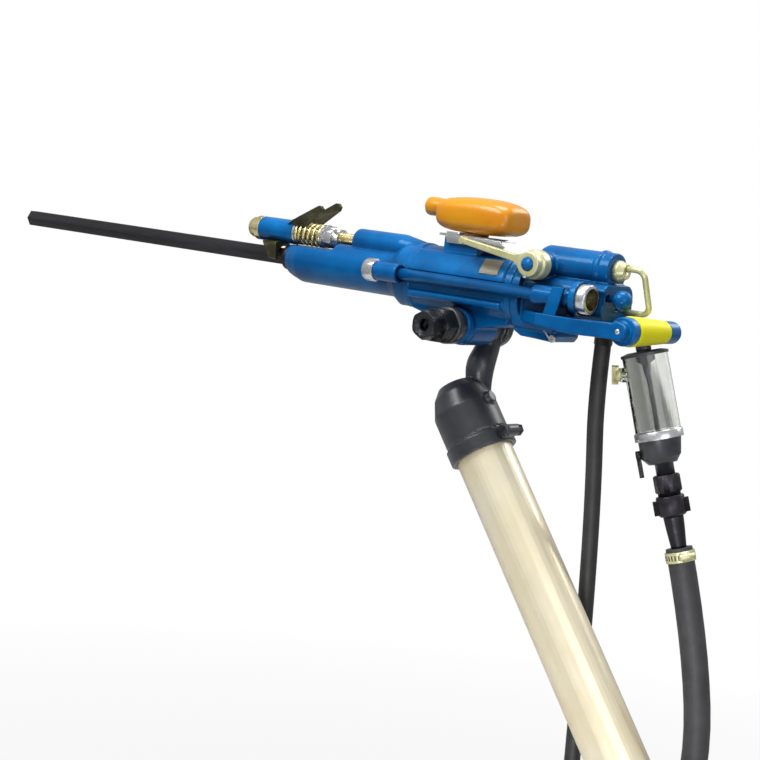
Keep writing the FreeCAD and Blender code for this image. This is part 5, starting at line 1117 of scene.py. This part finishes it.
# The floor keeps the object's shadow, glows to white for the camera far away, and bounces little light
def makeFloor(sizes):
    half = sizes["floor"]
    mesh = bpy.data.meshes.new("studioFloor")
    corners = [(-half, -half), (half, -half), (half, half), (-half, half)]
    mesh.from_pydata([(x, y, 0) for x, y in corners], [], [(0, 1, 2, 3)])
    material = bpy.data.materials.new("paleFloor")
    material.use_nodes = True
    tree = material.node_tree
    shader = tree.nodes["Principled BSDF"]
    shader.inputs["Roughness"].default_value = sizes["floorRough"]
    shader.inputs["Specular IOR Level"].default_value = sizes["floorSpecular"]
    glow = addNode(tree, "ShaderNodeEmission", (-200, -300))
    glow.inputs["Strength"].default_value = 1.0
    blend = addNode(tree, "ShaderNodeMixShader", (200, 0))
    path = addNode(tree, "ShaderNodeLightPath", (-600, -200))
    bounced = path.outputs["Is Diffuse Ray"]
    shade = mixed(tree, bounced, sizes["floorShade"], sizes["floorBounce"], (-300, 200))
    tree.links.new(shade, shader.inputs["Base Color"])
    coord = addNode(tree, "ShaderNodeTexCoord", (-1200, -500))
    away = addNode(tree, "ShaderNodeVectorMath", (-1000, -500), operation="LENGTH")
    tree.links.new(coord.outputs["Object"], away.inputs[0])
    shown = span(tree, away.outputs["Value"], sizes["glowNear"], 1.0, sizes["clearFrom"], sizes["clearTo"],
                 (-800, -500))
    share = addNode(tree, "ShaderNodeMath", (-300, -100), operation="MULTIPLY")
    tree.links.new(path.outputs["Is Camera Ray"], share.inputs[0])
    tree.links.new(shown, share.inputs[1])
    tree.links.new(share.outputs[0], blend.inputs[0])
    tree.links.new(shader.outputs[0], blend.inputs[1])
    tree.links.new(glow.outputs[0], blend.inputs[2])
    tree.links.new(blend.outputs[0], tree.nodes["Material Output"].inputs["Surface"])
    mesh.materials.append(material)
    floor = bpy.data.objects.new("studioFloor", mesh)
    floor.location = (*sizes["middle"], floorHeight - sizes["underGap"])
    scene.collection.objects.link(floor)


def makeLamp(name, place, target, size, power, spread=180):
    data = bpy.data.lights.new(name, "AREA")
    data.shape = "RECTANGLE"
    data.size, data.size_y = size
    data.energy = power
    data.spread = math.radians(spread)
    lamp = bpy.data.objects.new(name, data)
    way = Vector(target) - Vector(place)
    lamp.matrix_world = Matrix.Translation(place) @ way.to_track_quat("-Z", "Y").to_matrix().to_4x4()
    scene.collection.objects.link(lamp)


# The world is white for the camera and through clear plastic, part of it in glossy pieces, and dim as light
def makeWorld(sizes):
    world = bpy.data.worlds.new("studio")
    scene.world = world
    world.use_nodes = True
    tree = world.node_tree
    light = tree.nodes["Background"]
    light.inputs["Strength"].default_value = sizes["worldLight"]
    seen = addNode(tree, "ShaderNodeBackground", (0, -200))
    path = addNode(tree, "ShaderNodeLightPath", (-600, 200))
    first = addNode(tree, "ShaderNodeMath", (-350, 200), operation="MAXIMUM")
    tree.links.new(path.outputs["Is Camera Ray"], first.inputs[0])
    tree.links.new(path.outputs["Is Transmission Ray"], first.inputs[1])
    gloss = addNode(tree, "ShaderNodeMath", (-350, 0), operation="MULTIPLY")
    gloss.inputs[1].default_value = sizes["glossShare"]
    tree.links.new(path.outputs["Is Glossy Ray"], gloss.inputs[0])
    either = addNode(tree, "ShaderNodeMath", (-150, 100), operation="MAXIMUM")
    tree.links.new(first.outputs[0], either.inputs[0])
    tree.links.new(gloss.outputs[0], either.inputs[1])
    blend = addNode(tree, "ShaderNodeMixShader", (200, 0))
    tree.links.new(either.outputs[0], blend.inputs[0])
    tree.links.new(light.outputs[0], blend.inputs[1])
    tree.links.new(seen.outputs[0], blend.inputs[2])
    light.inputs["Color"].default_value = (1, 1, 1, 1)
    seen.inputs["Color"].default_value = (1, 1, 1, 1)
    seen.inputs["Strength"].default_value = 1.0
    tree.links.new(blend.outputs[0], tree.nodes["World Output"].inputs["Surface"])


makeFloor(studioSizes)
makeWorld(studioSizes)
for name, values in lamps.items():
    makeLamp(name, **values)
scene.view_settings.view_transform = "Standard"
print("studio set")
